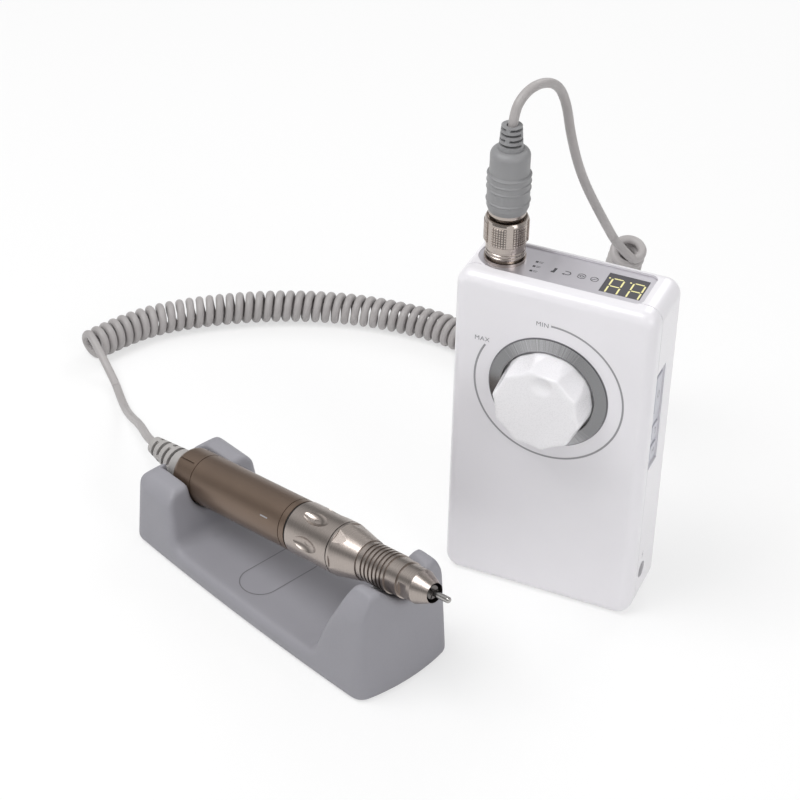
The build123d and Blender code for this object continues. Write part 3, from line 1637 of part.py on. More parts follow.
os.makedirs("parts", exist_ok=True)
for label, piece in pieces.items():
    piece.label = label
    export_step(piece, f"parts/{label}.step")
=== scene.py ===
"""Looks of the cordless nail drill set: camera, cords, finishes, printed marks, floor and lamps.

In the frame of the CAD model. Blender's lengths are metres; names and comments say where values
are millimetres.
"""
import math

import bmesh
import bpy
from mathutils import Matrix, Vector


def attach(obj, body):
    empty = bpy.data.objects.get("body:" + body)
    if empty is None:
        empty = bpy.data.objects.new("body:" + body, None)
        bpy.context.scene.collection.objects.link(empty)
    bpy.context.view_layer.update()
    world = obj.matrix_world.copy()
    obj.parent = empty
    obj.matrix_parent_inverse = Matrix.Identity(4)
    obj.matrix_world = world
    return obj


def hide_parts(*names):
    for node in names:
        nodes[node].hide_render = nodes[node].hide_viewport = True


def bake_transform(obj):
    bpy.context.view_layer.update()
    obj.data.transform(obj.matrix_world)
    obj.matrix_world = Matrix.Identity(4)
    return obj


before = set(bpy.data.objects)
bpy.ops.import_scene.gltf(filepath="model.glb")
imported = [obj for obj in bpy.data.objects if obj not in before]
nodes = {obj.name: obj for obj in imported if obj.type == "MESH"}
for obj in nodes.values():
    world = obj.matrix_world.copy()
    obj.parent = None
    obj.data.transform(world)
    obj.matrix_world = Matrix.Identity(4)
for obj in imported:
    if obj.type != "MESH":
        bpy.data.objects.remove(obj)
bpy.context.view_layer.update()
scene = bpy.context.scene

MM = 0.001
FULL_TURN = 2 * math.pi

# Centre of the handpiece's rear end, and its directions to the nose and to the side
HAND_REAR = (-0.137556, -0.032572, 0.0253)
HAND_ALONG = (0.907716, -0.3834342, 0.1703815)
HAND_ACROSS = (0.3891240, 0.9211855, 0.0)
# Where the dial's axis meets the box's face, in millimetres
DIAL_CENTRE = (0.0, -15.5, 93.2)


def add_object(name, data):
    """A new object of the scene that holds this data."""
    made = bpy.data.objects.new(name, data)
    scene.collection.objects.link(made)
    return made


def axes_matrix(x_way, y_way, z_way, origin):
    """The matrix that puts something at an origin, turned to three axes."""
    return Matrix((*zip(x_way, y_way, z_way, origin), (0.0, 0.0, 0.0, 1.0)))


def built_mesh(name, build):
    """The mesh of a finished bmesh, which is freed."""
    mesh = bpy.data.meshes.new(name)
    build.normal_update()
    build.to_mesh(mesh)
    build.free()
    return mesh


# Camera, its place in millimetres
SENSOR_WIDTH = 36.0
LENS = 103.13
CLIP_NEAR, CLIP_FAR = 0.02, 20.0
CAMERA_PLACE = (210.636, -649.396, 567.819)
CAMERA_RIGHT = (0.91545, 0.40196, 0.01945)
CAMERA_UP = (-0.24942, 0.52879, 0.81128)
CAMERA_BACK = (0.31581, -0.74754, 0.58433)

camera_data = bpy.data.cameras.new("camera")
camera_data.sensor_width = SENSOR_WIDTH
camera_data.lens = LENS
camera_data.clip_start = CLIP_NEAR
camera_data.clip_end = CLIP_FAR
camera = add_object("camera", camera_data)
camera.matrix_world = axes_matrix(CAMERA_RIGHT, CAMERA_UP, CAMERA_BACK, Vector(CAMERA_PLACE) * MM)
scene.camera = camera

# Helpers for material nodes
NOISE_LOW, NOISE_HIGH = 0.25, 0.75


def noise(tree, vector, scale, detail, dimensions="3D"):
    """A noise's value at a place, or along a single number where it is 1D."""
    node = tree.nodes.new("ShaderNodeTexNoise")
    node.noise_dimensions = dimensions
    node.inputs["Scale"].default_value = scale
    node.inputs["Detail"].default_value = detail
    tree.links.new(vector, node.inputs["W" if dimensions == "1D" else "Vector"])
    return node.outputs["Fac"]


def spread(tree, value, low, high):
    """The middle of a noise's range, drawn out to run from low to high."""
    node = tree.nodes.new("ShaderNodeMapRange")
    node.inputs["From Min"].default_value = NOISE_LOW
    node.inputs["From Max"].default_value = NOISE_HIGH
    node.inputs["To Min"].default_value = low
    node.inputs["To Max"].default_value = high
    tree.links.new(value, node.inputs["Value"])
    return node.outputs["Result"]


def math_node(tree, operation, first, second=0.0, clamp=False):
    """The result of an operation on two values, each a number or another node's output."""
    node = tree.nodes.new("ShaderNodeMath")
    node.operation = operation
    node.use_clamp = clamp
    for value, socket in ((first, node.inputs[0]), (second, node.inputs[1])):
        if isinstance(value, float):
            socket.default_value = value
        else:
            tree.links.new(value, socket)
    return node.outputs[0]


def vector_node(tree, operation, first, second):
    """A vector node between another node's output and fixed values."""
    node = tree.nodes.new("ShaderNodeVectorMath")
    node.operation = operation
    node.inputs[1].default_value = second
    tree.links.new(first, node.inputs[0])
    return node


def split(tree, vector):
    """The outputs for a vector's X, Y and Z."""
    node = tree.nodes.new("ShaderNodeSeparateXYZ")
    tree.links.new(vector, node.inputs[0])
    return node.outputs


# Painted sheen of a turned face, put into its colour: two bright lobes of painted highlight about
# its axis, with fine streaks across them
LOBE_COUNT = 2.0
LOBE_TURN = 3.5
STREAK_SCALE = 40.0
PAINTED_SHEEN_SHARE = 0.35
FINE_DETAIL = 2.0
DRIFT_DETAIL = 3.0


def painted_sheen(tree, place, centre):
    """The painted highlight, in the colour, of a face turned about the y axis through this centre,
    at a place.
    """
    sides = split(tree, vector_node(tree, "SUBTRACT", place, centre).outputs["Vector"])
    angle = math_node(tree, "ARCTAN2", sides["Z"], sides["X"])
    turn = math_node(tree, "SUBTRACT", math_node(tree, "MULTIPLY", angle, LOBE_COUNT), LOBE_TURN)
    streaks = noise(tree, angle, STREAK_SCALE, FINE_DETAIL, "1D")
    sheen = math_node(tree, "ADD", math_node(tree, "COSINE", turn), streaks)
    return math_node(tree, "MULTIPLY", sheen, PAINTED_SHEEN_SHARE)


COAT_ROUGH = 0.08
LEAST_ROUGH = 0.02
BUMP_STRENGTH = 0.5
GLOW_STRENGTH = 0.35


def material(name, colour, rough, metal=0.0, coat=0.0, mottle_and_sheen=0.05, mottle_scale=45.0,
             grain=900.0, grain_depth=0.01, rough_swing=0.06, brush=None, brush_scale=None,
             brush_depth=None, sheen_centre=None, glow=None):
    """A finish with a slow drift in its colour and a fine grain in its roughness and bump.

    With brush, a direction, the grain is lines across that direction. With a centre point for the
    sheen, the colour follows a painted sheen about it instead of the drift: painted highlight
    lobes of a turned face, as deep as the mottle. glow is the colour of the finish's own light.
    The depths are millimetres.
    """
    made = bpy.data.materials.new(name)
    made.use_nodes = True
    tree = made.node_tree
    shader = tree.nodes["Principled BSDF"]
    shader.inputs["Metallic"].default_value = metal
    shader.inputs["Coat Weight"].default_value = coat
    shader.inputs["Coat Roughness"].default_value = COAT_ROUGH
    place = tree.nodes.new("ShaderNodeTexCoord").outputs["Object"]

    mix = tree.nodes.new("ShaderNodeMix")
    mix.data_type = "RGBA"
    mix.inputs["A"].default_value = [c * (1.0 - mottle_and_sheen) for c in colour] + [1.0]
    mix.inputs["B"].default_value = [min(1.0, c * (1.0 + mottle_and_sheen)) for c in colour] + [1.0]
    # A slow random drift of the colour; with a sheen centre, a painted sheen takes its place
    if sheen_centre is None:
        drift_and_sheen = noise(tree, place, mottle_scale, DRIFT_DETAIL)
    else:
        drift_and_sheen = painted_sheen(tree, place, sheen_centre)
    tree.links.new(spread(tree, drift_and_sheen, 0.0, 1.0), mix.inputs["Factor"])
    tree.links.new(mix.outputs["Result"], shader.inputs["Base Color"])

    if brush is None:
        fine = noise(tree, place, grain, FINE_DETAIL)
        fine_depth = grain_depth
    else:
        station = vector_node(tree, "DOT_PRODUCT", place, brush).outputs["Value"]
        fine = noise(tree, station, brush_scale, FINE_DETAIL, "1D")
        fine_depth = brush_depth
    tree.links.new(spread(tree, fine, max(LEAST_ROUGH, rough - rough_swing), rough + rough_swing),
                   shader.inputs["Roughness"])
    bump = tree.nodes.new("ShaderNodeBump")
    bump.inputs["Strength"].default_value = BUMP_STRENGTH
    bump.inputs["Distance"].default_value = fine_depth * MM
    tree.links.new(fine, bump.inputs["Height"])
    tree.links.new(bump.outputs["Normal"], shader.inputs["Normal"])

    if glow is not None:
        shader.inputs["Emission Color"].default_value = (*glow, 1.0)
        shader.inputs["Emission Strength"].default_value = GLOW_STRENGTH
    return made


# Finishes
finishes = {
    "shell": material("white_shell", (0.80, 0.785, 0.815), 0.3, coat=0.3, mottle_and_sheen=0.012,
                      grain=3000.0, grain_depth=0.002, rough_swing=0.03),
    "knob": material("white_knob", (0.83, 0.82, 0.84), 0.28, coat=0.3, mottle_and_sheen=0.008,
                     grain=3000.0, grain_depth=0.002, rough_swing=0.03),
    # The trim's colour carries a painted sheen about the dial's centre, 0.42 deep: painted
    # highlight lobes
    "trim": material("silver_trim", (0.42, 0.42, 0.43), 0.2, metal=1.0, mottle_and_sheen=0.42,
                     grain=3200.0, grain_depth=0.02, sheen_centre=Vector(DIAL_CENTRE) * MM),
    "panel": material("panel_metal", (0.60, 0.582, 0.62), 0.34, metal=0.8, mottle_and_sheen=0.03,
                      brush=(0.0, 1.0, 0.0), brush_scale=9000.0, brush_depth=0.004),
    "window": material("dark_window", (0.055, 0.052, 0.062), 0.14, coat=0.6, mottle_and_sheen=0.1,
                       grain=300.0, grain_depth=0.002, rough_swing=0.03),
    "nickel": material("nickel", (0.46, 0.41, 0.375), 0.24, metal=1.0,
                       brush=(0.0, 0.0, 1.0), brush_scale=8000.0, brush_depth=0.006),
    "boot": material("grey_rubber", (0.262, 0.262, 0.268), 0.45,
                     grain=2200.0, grain_depth=0.02, rough_swing=0.08),
    "relief": material("relief_rubber", (0.40, 0.385, 0.375), 0.48,
                       grain=2200.0, grain_depth=0.02, rough_swing=0.08),
    "cord": material("cord_grey", (0.395, 0.375, 0.372), 0.42, mottle_and_sheen=0.06, mottle_scale=70.0,
                     grain=2600.0, grain_depth=0.012, rough_swing=0.07),
    "bronze": material("bronze", (0.19, 0.136, 0.102), 0.38, metal=0.75, coat=0.15, mottle_and_sheen=0.06,
                       mottle_scale=60.0, grain=3200.0, grain_depth=0.012, rough_swing=0.05),
    "silver": material("satin_silver", (0.42, 0.372, 0.342), 0.3, metal=1.0,
                       brush=HAND_ALONG, brush_scale=7000.0, brush_depth=0.006),
    "cradle": material("cradle_grey", (0.292, 0.288, 0.315), 0.55, mottle_and_sheen=0.035, mottle_scale=30.0,
                       grain=1500.0, grain_depth=0.025, rough_swing=0.08),
    "foot": material("foot_rubber", (0.05, 0.05, 0.055), 0.7, mottle_and_sheen=0.1, grain_depth=0.02),
    "steel": material("steel", (0.42, 0.41, 0.4), 0.24, metal=1.0, mottle_and_sheen=0.06,
                      brush=HAND_ALONG, brush_scale=9000.0, brush_depth=0.004),
    # Dark steel, and also the painted shade under the sleeve's knurl
    "dark_steel": material("dark_steel", (0.16, 0.15, 0.145), 0.28, metal=1.0, mottle_and_sheen=0.08,
                           brush=HAND_ALONG, brush_scale=6000.0, brush_depth=0.006),
    "seal": material("black_seal", (0.018, 0.017, 0.017), 0.55, mottle_and_sheen=0.1, grain_depth=0.02),
    "board": material("board_green", (0.02, 0.11, 0.045), 0.4, mottle_and_sheen=0.12, mottle_scale=300.0),
    "black": material("black_plastic", (0.02, 0.02, 0.022), 0.5, mottle_and_sheen=0.1, grain_depth=0.015),
    "cell": material("cell_wrap", (0.03, 0.1, 0.26), 0.3, coat=0.2, mottle_and_sheen=0.06),
    "foam": material("foam", (0.06, 0.06, 0.065), 0.85, mottle_and_sheen=0.2, grain=1800.0,
                     grain_depth=0.12),
    "copper": material("copper_rotor", (0.42, 0.17, 0.07), 0.35, metal=0.9, mottle_and_sheen=0.12),
    "button": material("button_silver", (0.53, 0.53, 0.59), 0.36, coat=0.2, mottle_and_sheen=0.02,
                       grain_depth=0.004),
    # Print, and also the painted shadow line round the dial
    "ink_and_shade": material("print_and_shade_grey", (0.235, 0.23, 0.25), 0.45, mottle_and_sheen=0.06),
    "line": material("printed_line", (0.31, 0.305, 0.32), 0.45, mottle_and_sheen=0.06),
    # Painted shade of the cradle's groove
    "groove_shade": material("groove_shade_line", (0.165, 0.16, 0.175), 0.6, mottle_and_sheen=0.08),
    "dark_ink": material("printed_dark", (0.05, 0.048, 0.055), 0.45, mottle_and_sheen=0.08),
    "lit": material("lit_segment", (0.66, 0.61, 0.30), 0.4, mottle_and_sheen=0.04, glow=(0.62, 0.58, 0.22)),
}

# Each finish and slot name, with the solids that have them
LOOKS = (
    ("shell", "white_shell", ("front_shell", "rear_shell")),
    ("button", "white_shell", ("side_plate", "power_button", "direction_button", "mode_button")),
    ("knob", "white_knob", ("speed_knob",)),
    ("trim", "silver_trim", ("dial_ring",)),
    ("panel", "panel_metal", ("top_panel",)),
    ("window", "dark_window", ("display_window",)),
    ("board", "board_green", ("display_board", "main_board", "switch_board")),
    ("black", "black_plastic", ("display_module", "battery_tray", "tact_switches", "dc_jack",
                                "socket_insert", "plug_insert")),
    ("cell", "cell_wrap", ("battery_cell_1", "battery_cell_2", "battery_cell_3")),
    ("foam", "foam", ("battery_pad",)),
    ("nickel", "nickel", ("socket", "socket_nut", "coupling_sleeve", "plug_shell")),
    ("silver", "nickel", ("lock_ring", "nose_cone", "nose_cap")),
    ("boot", "grey_rubber", ("plug_boot",)),
    ("relief", "grey_rubber", ("strain_relief",)),
    ("cradle", "cradle_grey", ("cradle",)),
    ("foot", "foot_rubber", ("cradle_feet",)),
    ("bronze", "bronze", ("motor_housing",)),
    ("seal", "black_seal", ("ring_seals",)),
    ("copper", "copper_rotor", ("rotor",)),
    ("dark_steel", "dark_steel", ("drive_coupling", "collet")),
    ("steel", "steel", ("case_screws", "board_screws", "pot_shaft", "potentiometer", "pot_nut",
                        "motor_can", "motor_bearings", "spindle", "spindle_bearings", "bur")),
)
for finish, slot_name, names in LOOKS:
    for name in names:
        node = nodes[name]
        if not node.material_slots:
            node.data.materials.append(finishes[finish])
        for material_slot in node.material_slots:
            material_slot.material = finishes[finish]

# Solids with softer edges than their fillets: voxel in millimetres, smoothing passes
SOFTENED = (("speed_knob", 0.35, 24), ("cradle", 0.55, 36))
SMOOTH_FACTOR = 0.5
for name, voxel, passes in SOFTENED:
    weave = nodes[name].modifiers.new("fine_skin", "REMESH")
    weave.mode = "VOXEL"
    weave.voxel_size = voxel * MM
    weave.use_smooth_shade = True
    soften = nodes[name].modifiers.new("soft_edges", "SMOOTH")
    soften.factor = SMOOTH_FACTOR
    soften.iterations = passes


def piece(name, mesh, body, finish, smooth=True):
    """A new mesh object that rides on a body, or on none where body is None."""
    made = add_object(name, mesh)
    mesh.materials.clear()
    mesh.materials.append(finishes[finish])
    for face in mesh.polygons:
        face.use_smooth = smooth
    if body is not None:
        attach(made, body)
    return made


# Cords: control points in millimetres. Both leads run toward the coil, and the coil's axis runs
# from the handpiece's lead to the plug's
CORD = 3.5 * MM
COIL_RADIUS = 5.25 * MM
COIL_TURNS = 73.5
PER_TURN = 14
COIL_END_RUN = 4.5
COIL_STEPS = 3
COIL_ROUNDING = 5
LINE_STEPS = 24
TUBE_SIDES = 24
coil_axis_points = (
    (-228.6, 47.9, 7.2), (-221.0, 68.5, 7.2), (-203.0, 88.5, 7.2), (-173.0, 109.5, 7.2),
    (-138.5, 123.0, 7.2), (-104.0, 126.0, 7.2), (-84.0, 122.5, 7.2), (-62.0, 114.5, 8.5),
    (-42.0, 107.5, 17.5), (-25.5, 99.5, 36.0), (-13.0, 89.0, 62.0), (-6.3, 80.5, 83.0),
    (-0.7, 72.6, 104.0),
)
plug_lead_points = (
    (-25.0, 1.0, 179.0), (-25.0, 1.0, 191.5), (-23.0, 6.9, 197.6), (-20.0, 15.7, 198.0),
    (-17.1, 24.2, 193.5), (-15.4, 29.4, 184.0), (-14.2, 32.7, 170.0), (-11.8, 39.8, 151.0),
    (-7.6, 52.1, 129.5), (-4.4, 61.6, 114.5),
)
handpiece_lead_points = (
    (-149.4, -27.6, 25.3), (-160.6, -22.9, 25.3), (-174.2, -6.4, 18.0), (-187.1, 8.0, 8.5),
    (-198.0, 20.6, 2.2), (-207.4, 31.5, 2.2),
)


def spline_curve(name, points, steps):
    """A curve object of one open smooth spline with these control points, in metres."""
    data = bpy.data.curves.new(name, "CURVE")
    data.dimensions = "3D"
    data.resolution_u = steps
    spline = data.splines.new("NURBS")
    spline.points.add(len(points) - 1)
    for point, control in zip(points, spline.points):
        control.co = (*point, 1.0)
    spline.order_u = 3
    spline.use_endpoint_u = True
    return add_object(name, data)


def evaluated_mesh(holder):
    """A mesh of what an object shows; the object is removed."""
    bpy.context.view_layer.update()
    graph = bpy.context.evaluated_depsgraph_get()
    mesh = bpy.data.meshes.new_from_object(holder.evaluated_get(graph))
    bpy.data.objects.remove(holder)
    return mesh


def read_line(points):
    """The points, in metres, along the smooth spline of a route given in millimetres."""
    mesh = evaluated_mesh(spline_curve("guide", [Vector(p) * MM for p in points], LINE_STEPS))
    line = [v.co.copy() for v in mesh.vertices]
    bpy.data.meshes.remove(mesh)
    return line


def tube(name, line, radius):
    """A closed mesh tube along a line of points, its rings kept from twisting."""
    build = bmesh.new()
    ahead = [(b - a).normalized() for a, b in zip(line, line[1:])]
    ahead = [ahead[0]] + [(a + b).normalized() for a, b in zip(ahead, ahead[1:])] + [ahead[-1]]
    side = ahead[0].orthogonal().normalized()
    angles = [FULL_TURN * k / TUBE_SIDES for k in range(TUBE_SIDES)]
    rings = []
    for point, way in zip(line, ahead):
        side = (side - way * side.dot(way)).normalized()
        over = way.cross(side)
        rings.append([
            build.verts.new(point + radius * (side * math.cos(angle) + over * math.sin(angle)))
            for angle in angles
        ])
    for a, b in zip(rings, rings[1:]):
        for k in range(TUBE_SIDES):
            after = (k + 1) % TUBE_SIDES
            build.faces.new((a[k], a[after], b[after], b[k]))
    build.faces.new(list(reversed(rings[0])))
    build.faces.new(rings[-1])
    return built_mesh(name, build)


plug_line = read_line(plug_lead_points)
plug_lead = piece("plug_cord", tube("plug_cord", plug_line, CORD / 2), None, "cord")
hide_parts("plug_lead")
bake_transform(plug_lead)

hand_line = read_line(handpiece_lead_points)
hand_lead = piece("handpiece_cord", tube("handpiece_cord", hand_line, CORD / 2), None,
                  "cord")
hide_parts("handpiece_lead")
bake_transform(hand_lead)

# The coil: a helix about its own axis line, joined to both leads by short straight runs
axis_line = read_line(coil_axis_points)
reach = [0.0]
for a, b in zip(axis_line, axis_line[1:]):
    reach.append(reach[-1] + (b - a).length)


def axis_at(share):
    """The coil axis's place and direction at a share of its length."""
    wanted = share * reach[-1]
    index = 0
    while index < len(reach) - 2 and reach[index + 1] < wanted:
        index += 1
    between = (wanted - reach[index]) / (reach[index + 1] - reach[index])
    before = axis_line[max(index - 1, 0)]
    after = axis_line[min(index + 2, len(axis_line) - 1)]
    return axis_line[index].lerp(axis_line[index + 1], between), (after - before).normalized()


def lead_end(points):
    """The end of a lead and a point straight on from it, in metres."""
    end = Vector(points[-1])
    ahead = (end - Vector(points[-2])).normalized()
    return [end * MM, (end + ahead * COIL_END_RUN) * MM]


winding = lead_end(handpiece_lead_points)
point_count = round(COIL_TURNS * PER_TURN)
# A smooth spline of order 3 cuts inside its control points, so they lie a little further out
swell = 1.0 / (0.75 + 0.25 * math.cos(FULL_TURN / PER_TURN))
for step in range(point_count + 1):
    centre, ahead = axis_at(step / point_count)
    side = Vector((0.0, 0.0, 1.0)).cross(ahead).normalized()
    angle = FULL_TURN * step / PER_TURN
    winding.append(centre + (ahead.cross(side) * math.cos(angle) + side * math.sin(angle))
                   * (COIL_RADIUS * swell))
winding += reversed(lead_end(plug_lead_points))

coil = spline_curve("curly_cord", winding, COIL_STEPS)
coil.data.bevel_depth = CORD / 2
coil.data.bevel_resolution = COIL_ROUNDING
coil.data.use_fill_caps = True
coil.data.materials.append(finishes["cord"])
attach(coil, "box")
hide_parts("cord_coil")


# Printed marks and painted shade lines, drawn in millimetres on faces
MARK_LIFT = 0.02
SCALE_LIFT = 0.03
LETTER_LIFT = 0.04
GROOVE_LIFT = 0.05


class Face:
    """A flat patch that marks are drawn on: x to the right, y up, seen from outside."""

    def __init__(self, origin, across, up, body):
        self.origin = Vector(origin) * MM
        self.across = Vector(across).normalized()
        self.up = Vector(up).normalized()
        self.out = self.across.cross(self.up)
        self.body = body

    def at(self, x, y, lift):
        """The place of a point of the patch, lifted off it."""
        return self.origin + (self.across * x + self.up * y + self.out * lift) * MM


def marks(name, face, shapes, finish, lift=MARK_LIFT):
    """Flat shapes, each a list of corners, laid on a face: print, lit digits and painted shade
    lines.
    """
    build = bmesh.new()
    for shape in shapes:
        build.faces.new([build.verts.new(face.at(x, y, lift)) for x, y in shape])
    return piece(name, built_mesh(name, build), face.body, finish, smooth=False)


def stroke(points, width, closed=False):
    """Quads along a line of points, as a pen of this width draws it."""
    quads = []
    ends = points[1:] + points[:1] if closed else points[1:]
    for (ax, ay), (bx, by) in zip(points, ends):
        run = math.hypot(bx - ax, by - ay) or 1.0
        nx, ny = -(by - ay) / run * width / 2, (bx - ax) / run * width / 2
        quads.append([(ax - nx, ay - ny), (bx - nx, by - ny), (bx + nx, by + ny),
                      (ax + nx, ay + ny)])
    return quads


def arc(cx, cy, radius, start, end, steps):
    """Points on an arc, its angles in degrees."""
    angles = [math.radians(start + (end - start) * k / steps) for k in range(steps + 1)]
    return [(cx + radius * math.cos(angle), cy + radius * math.sin(angle)) for angle in angles]


def band(inner, outer, start, end, steps=160):
    """Quads of a ring about the face's origin, or of part of one."""
    low, high = arc(0, 0, inner, start, end, steps), arc(0, 0, outer, start, end, steps)
    return [[low[k], low[k + 1], high[k + 1], high[k]] for k in range(steps)]


# The dial's scale with its two words, and a painted shadow line where the dial's ring stands in
# the shell: inner and outer radius, first and last angle
SCALE_BAND = (27.85, 28.6, 91, -209)
RING_SHADOW_BAND = (22.35, 22.75, 0, 360)
MIN_PLACE = (-3.7, 28.0)
MAX_PLACE = (-26.0, 15.7)
LETTER_HEIGHT = 1.8
LETTER_SPACING = 1.1
FONT_SIZE_PER_HEIGHT = 1.43
front = Face(DIAL_CENTRE, (1, 0, 0), (0, 0, 1), "box")


def lettering(name, face, words, x, y):
    """Generic words printed on a face, centred at a point."""
    data = bpy.data.curves.new(name, "FONT")
    data.body = words
    data.size = LETTER_HEIGHT * FONT_SIZE_PER_HEIGHT * MM
    data.align_x = "CENTER"
    data.align_y = "CENTER"
    data.space_character = LETTER_SPACING
    mesh = evaluated_mesh(add_object(name, data))
    mesh.transform(axes_matrix(face.across, face.up, face.out, face.at(x, y, LETTER_LIFT)))
    return piece(name, mesh, face.body, "ink_and_shade", smooth=False)


marks("speed_scale", front, band(*SCALE_BAND), "line", SCALE_LIFT)
lettering("mark_min", front, "MIN", *MIN_PLACE)
lettering("mark_max", front, "MAX", *MAX_PLACE)
# Painted shadow: a dark ring where the dial's ring stands in the shell
marks("dial_shadow_line", front, band(*RING_SHADOW_BAND), "ink_and_shade")

# Painted shade of a groove in the cradle's floor: a dark line with round ends, on the cradle's own
# axes
GROOVE_X = -4.25
GROOVE_HALF = 9.75
GROOVE_RADIUS = 7.9
GROOVE_LINE = 0.42
GROOVE_STEPS = 24
cradle_floor = Face((-84.91, -54.81, 8.0), (0.9212, -0.3891, 0.0), (0.3891, 0.9212, 0.0), "box")
stadium = (arc(GROOVE_X, GROOVE_HALF, GROOVE_RADIUS, 0, 180, GROOVE_STEPS)
           + arc(GROOVE_X, -GROOVE_HALF, GROOVE_RADIUS, 180, 360, GROOVE_STEPS))
# A dark line of painted shade, laid where the groove's hollow is
marks("cradle_groove_shade", cradle_floor, stroke(stadium, GROOVE_LINE, True), "groove_shade",
      GROOVE_LIFT)

# Signs on the top panel: three rows of a square and two lines, then four plain signs, whose
# strokes each have their points and their pen's width
ROW_HEIGHTS = (2.7, -0.4, -3.6)
ROW_SQUARE = ((-13.9, -0.55), (-12.9, -0.55), (-12.9, 0.55), (-13.9, 0.55))
ROW_LINES = (((-12.6, 0.45), (-11.0, 0.45)), ((-12.6, -0.25), (-11.2, -0.25)))
ROW_PEN = 0.22
FLAG = [(-6.9, -1.4), (-5.5, -1.4), (-5.2, 1.7), (-6.3, 1.7), (-6.3, -0.2), (-6.9, -0.6)]
ARROW_HEAD = [(-2.0, -1.3), (-2.0, -0.1), (-2.9, -0.7)]
PANEL_STROKES = (
    ([(-2.2, 1.3)] + arc(-0.9, 0.3, 1.0, 90, -90, 10) + [(-2.0, -0.7)], 0.38),
    (arc(4.1, 0.6, 1.5, 20, 160, 10), 0.32),
    (arc(4.1, 0.6, 1.5, 200, 340, 10), 0.32),
    ([(2.6, 0.6), (3.3, 0.6)], 0.3),
    ([(4.9, 0.6), (5.7, 0.6)], 0.3),
    (arc(4.1, 0.6, 0.6, 0, 360, 12), 0.28),
    (arc(8.9, 0.6, 1.35, 0, 360, 24), 0.3),
    ([(8.0, -0.3), (9.8, 1.5)], 0.3),
)
panel = Face((0.0, 0.0, 134.2), (1, 0, 0), (0, 1, 0), "box")
icons = [FLAG, ARROW_HEAD]
for row_y in ROW_HEIGHTS:
    icons.append([(x, row_y + y) for x, y in ROW_SQUARE])
    for row_line in ROW_LINES:
        icons += stroke([(x, row_y + y) for x, y in row_line], ROW_PEN)
for points, pen in PANEL_STROKES:
    icons += stroke(points, pen)
marks("panel_icons", panel, icons, "dark_ink")

# Lit digits in the display window, each with a point at its top left
DIGIT_LEFTS = (14.7, 22.5)
DIGIT_WIDTH = 4.2
DIGIT_TOP, DIGIT_MIDDLE, DIGIT_BOTTOM = 4.1, -0.9, -5.35
SEGMENT_GAP = 0.28
SEGMENT_WIDTH = 0.62
POINT_LEFT, POINT_DROP, POINT_RADIUS = 1.2, 0.2, 0.4
POINT_ARC = (0, 345, 14)


def segment(ax, ay, bx, by):
    """One lit bar with pointed ends."""
    run = math.hypot(bx - ax, by - ay)
    tip = SEGMENT_WIDTH / 2
    tx, ty = (bx - ax) / run * tip, (by - ay) / run * tip
    return [
        (ax, ay), (ax + tx + ty, ay + ty - tx), (bx - tx + ty, by - ty - tx),
        (bx, by), (bx - tx - ty, by - ty + tx), (ax + tx - ty, ay + ty + tx),
    ]


digits = []
for left in DIGIT_LEFTS:
    right = left + DIGIT_WIDTH
    for y in (DIGIT_TOP, DIGIT_MIDDLE):
        digits.append(segment(left + SEGMENT_GAP, y, right - SEGMENT_GAP, y))
    for x in (left, right):
        digits.append(segment(x, DIGIT_TOP - SEGMENT_GAP, x, DIGIT_MIDDLE + SEGMENT_GAP))
        digits.append(segment(x, DIGIT_MIDDLE - SEGMENT_GAP, x, DIGIT_BOTTOM))
    digits.append(arc(left - POINT_LEFT, DIGIT_TOP - POINT_DROP, POINT_RADIUS, *POINT_ARC))
marks("lit_digits", panel, digits, "lit")

# Signs on the right side: on each key, and over the charging jack
SIDE_Y = -3.2
KEY_X = 37.2
SHELL_X = 37.5
KEY_PEN = 0.35
JACK_PEN = 0.3
power_sign = stroke(arc(0, 0, 1.2, 60, -240, 16), KEY_PEN) + stroke([(0, 0.2), (0, 1.6)], KEY_PEN)
direction_sign = stroke(arc(0, 0, 1.1, 150, -120, 12), KEY_PEN)
mode_sign = stroke([(-1.0, -0.8), (-1.0, 0.9), (0, -0.2), (1.0, 0.9), (1.0, -0.8)], KEY_PEN)
charge_sign = stroke([(0.4, 1.6), (-0.6, 0.1), (0.5, 0.1), (-0.4, -1.5)], JACK_PEN)
for name, body, x, height, sign in (
    ("power_mark", "power_key", KEY_X, 96.0, power_sign),
    ("direction_mark", "direction_key", KEY_X, 80.0, direction_sign),
    ("mode_mark", "mode_key", KEY_X, 71.0, mode_sign),
    ("charge_mark", "box", SHELL_X, 22.4, charge_sign),
):
    side_face = Face((x, SIDE_Y, height), (0, 1, 0), (0, 0, 1), body)
    marks(name, side_face, sign, "ink_and_shade")

# Knurled patches on the sleeve: rows of studs on a dark ground of painted shade between them, in
# millimetres and in degrees about the plug's axis
PLUG = Vector((-25.0, 1.0, 0.0))
PATCH_COUNT = 6
PATCH_START = 30
PATCH_TURN = 60
KNURL_LOW = 142.75
KNURL_PITCH = 0.96
KNURL_ROWS = 8
KNURL_COLUMNS = 6
KNURL_STEP = 6.9
SHADE_GROUND_RADIUS = 7.88
# A stud's foot and top: radius, half its width in degrees, half its height
STUD_FOOT = (7.86, 2.95, 0.42)
STUD_TOP = (8.08, 2.2, 0.33)
SQUARE = ((-1, -1), (1, -1), (1, 1), (-1, 1))


def around(degrees, radius, height):
    """A point at an angle, radius and height about the plug's axis."""
    turn = math.radians(degrees)
    return (PLUG + Vector((radius * math.cos(turn), radius * math.sin(turn), height))) * MM


def square(build, middle, height, radius, half_turn, half_height):
    """Four corners about an angle and height on the sleeve."""
    return [build.verts.new(around(middle + x * half_turn, radius, height + y * half_height))
            for x, y in SQUARE]


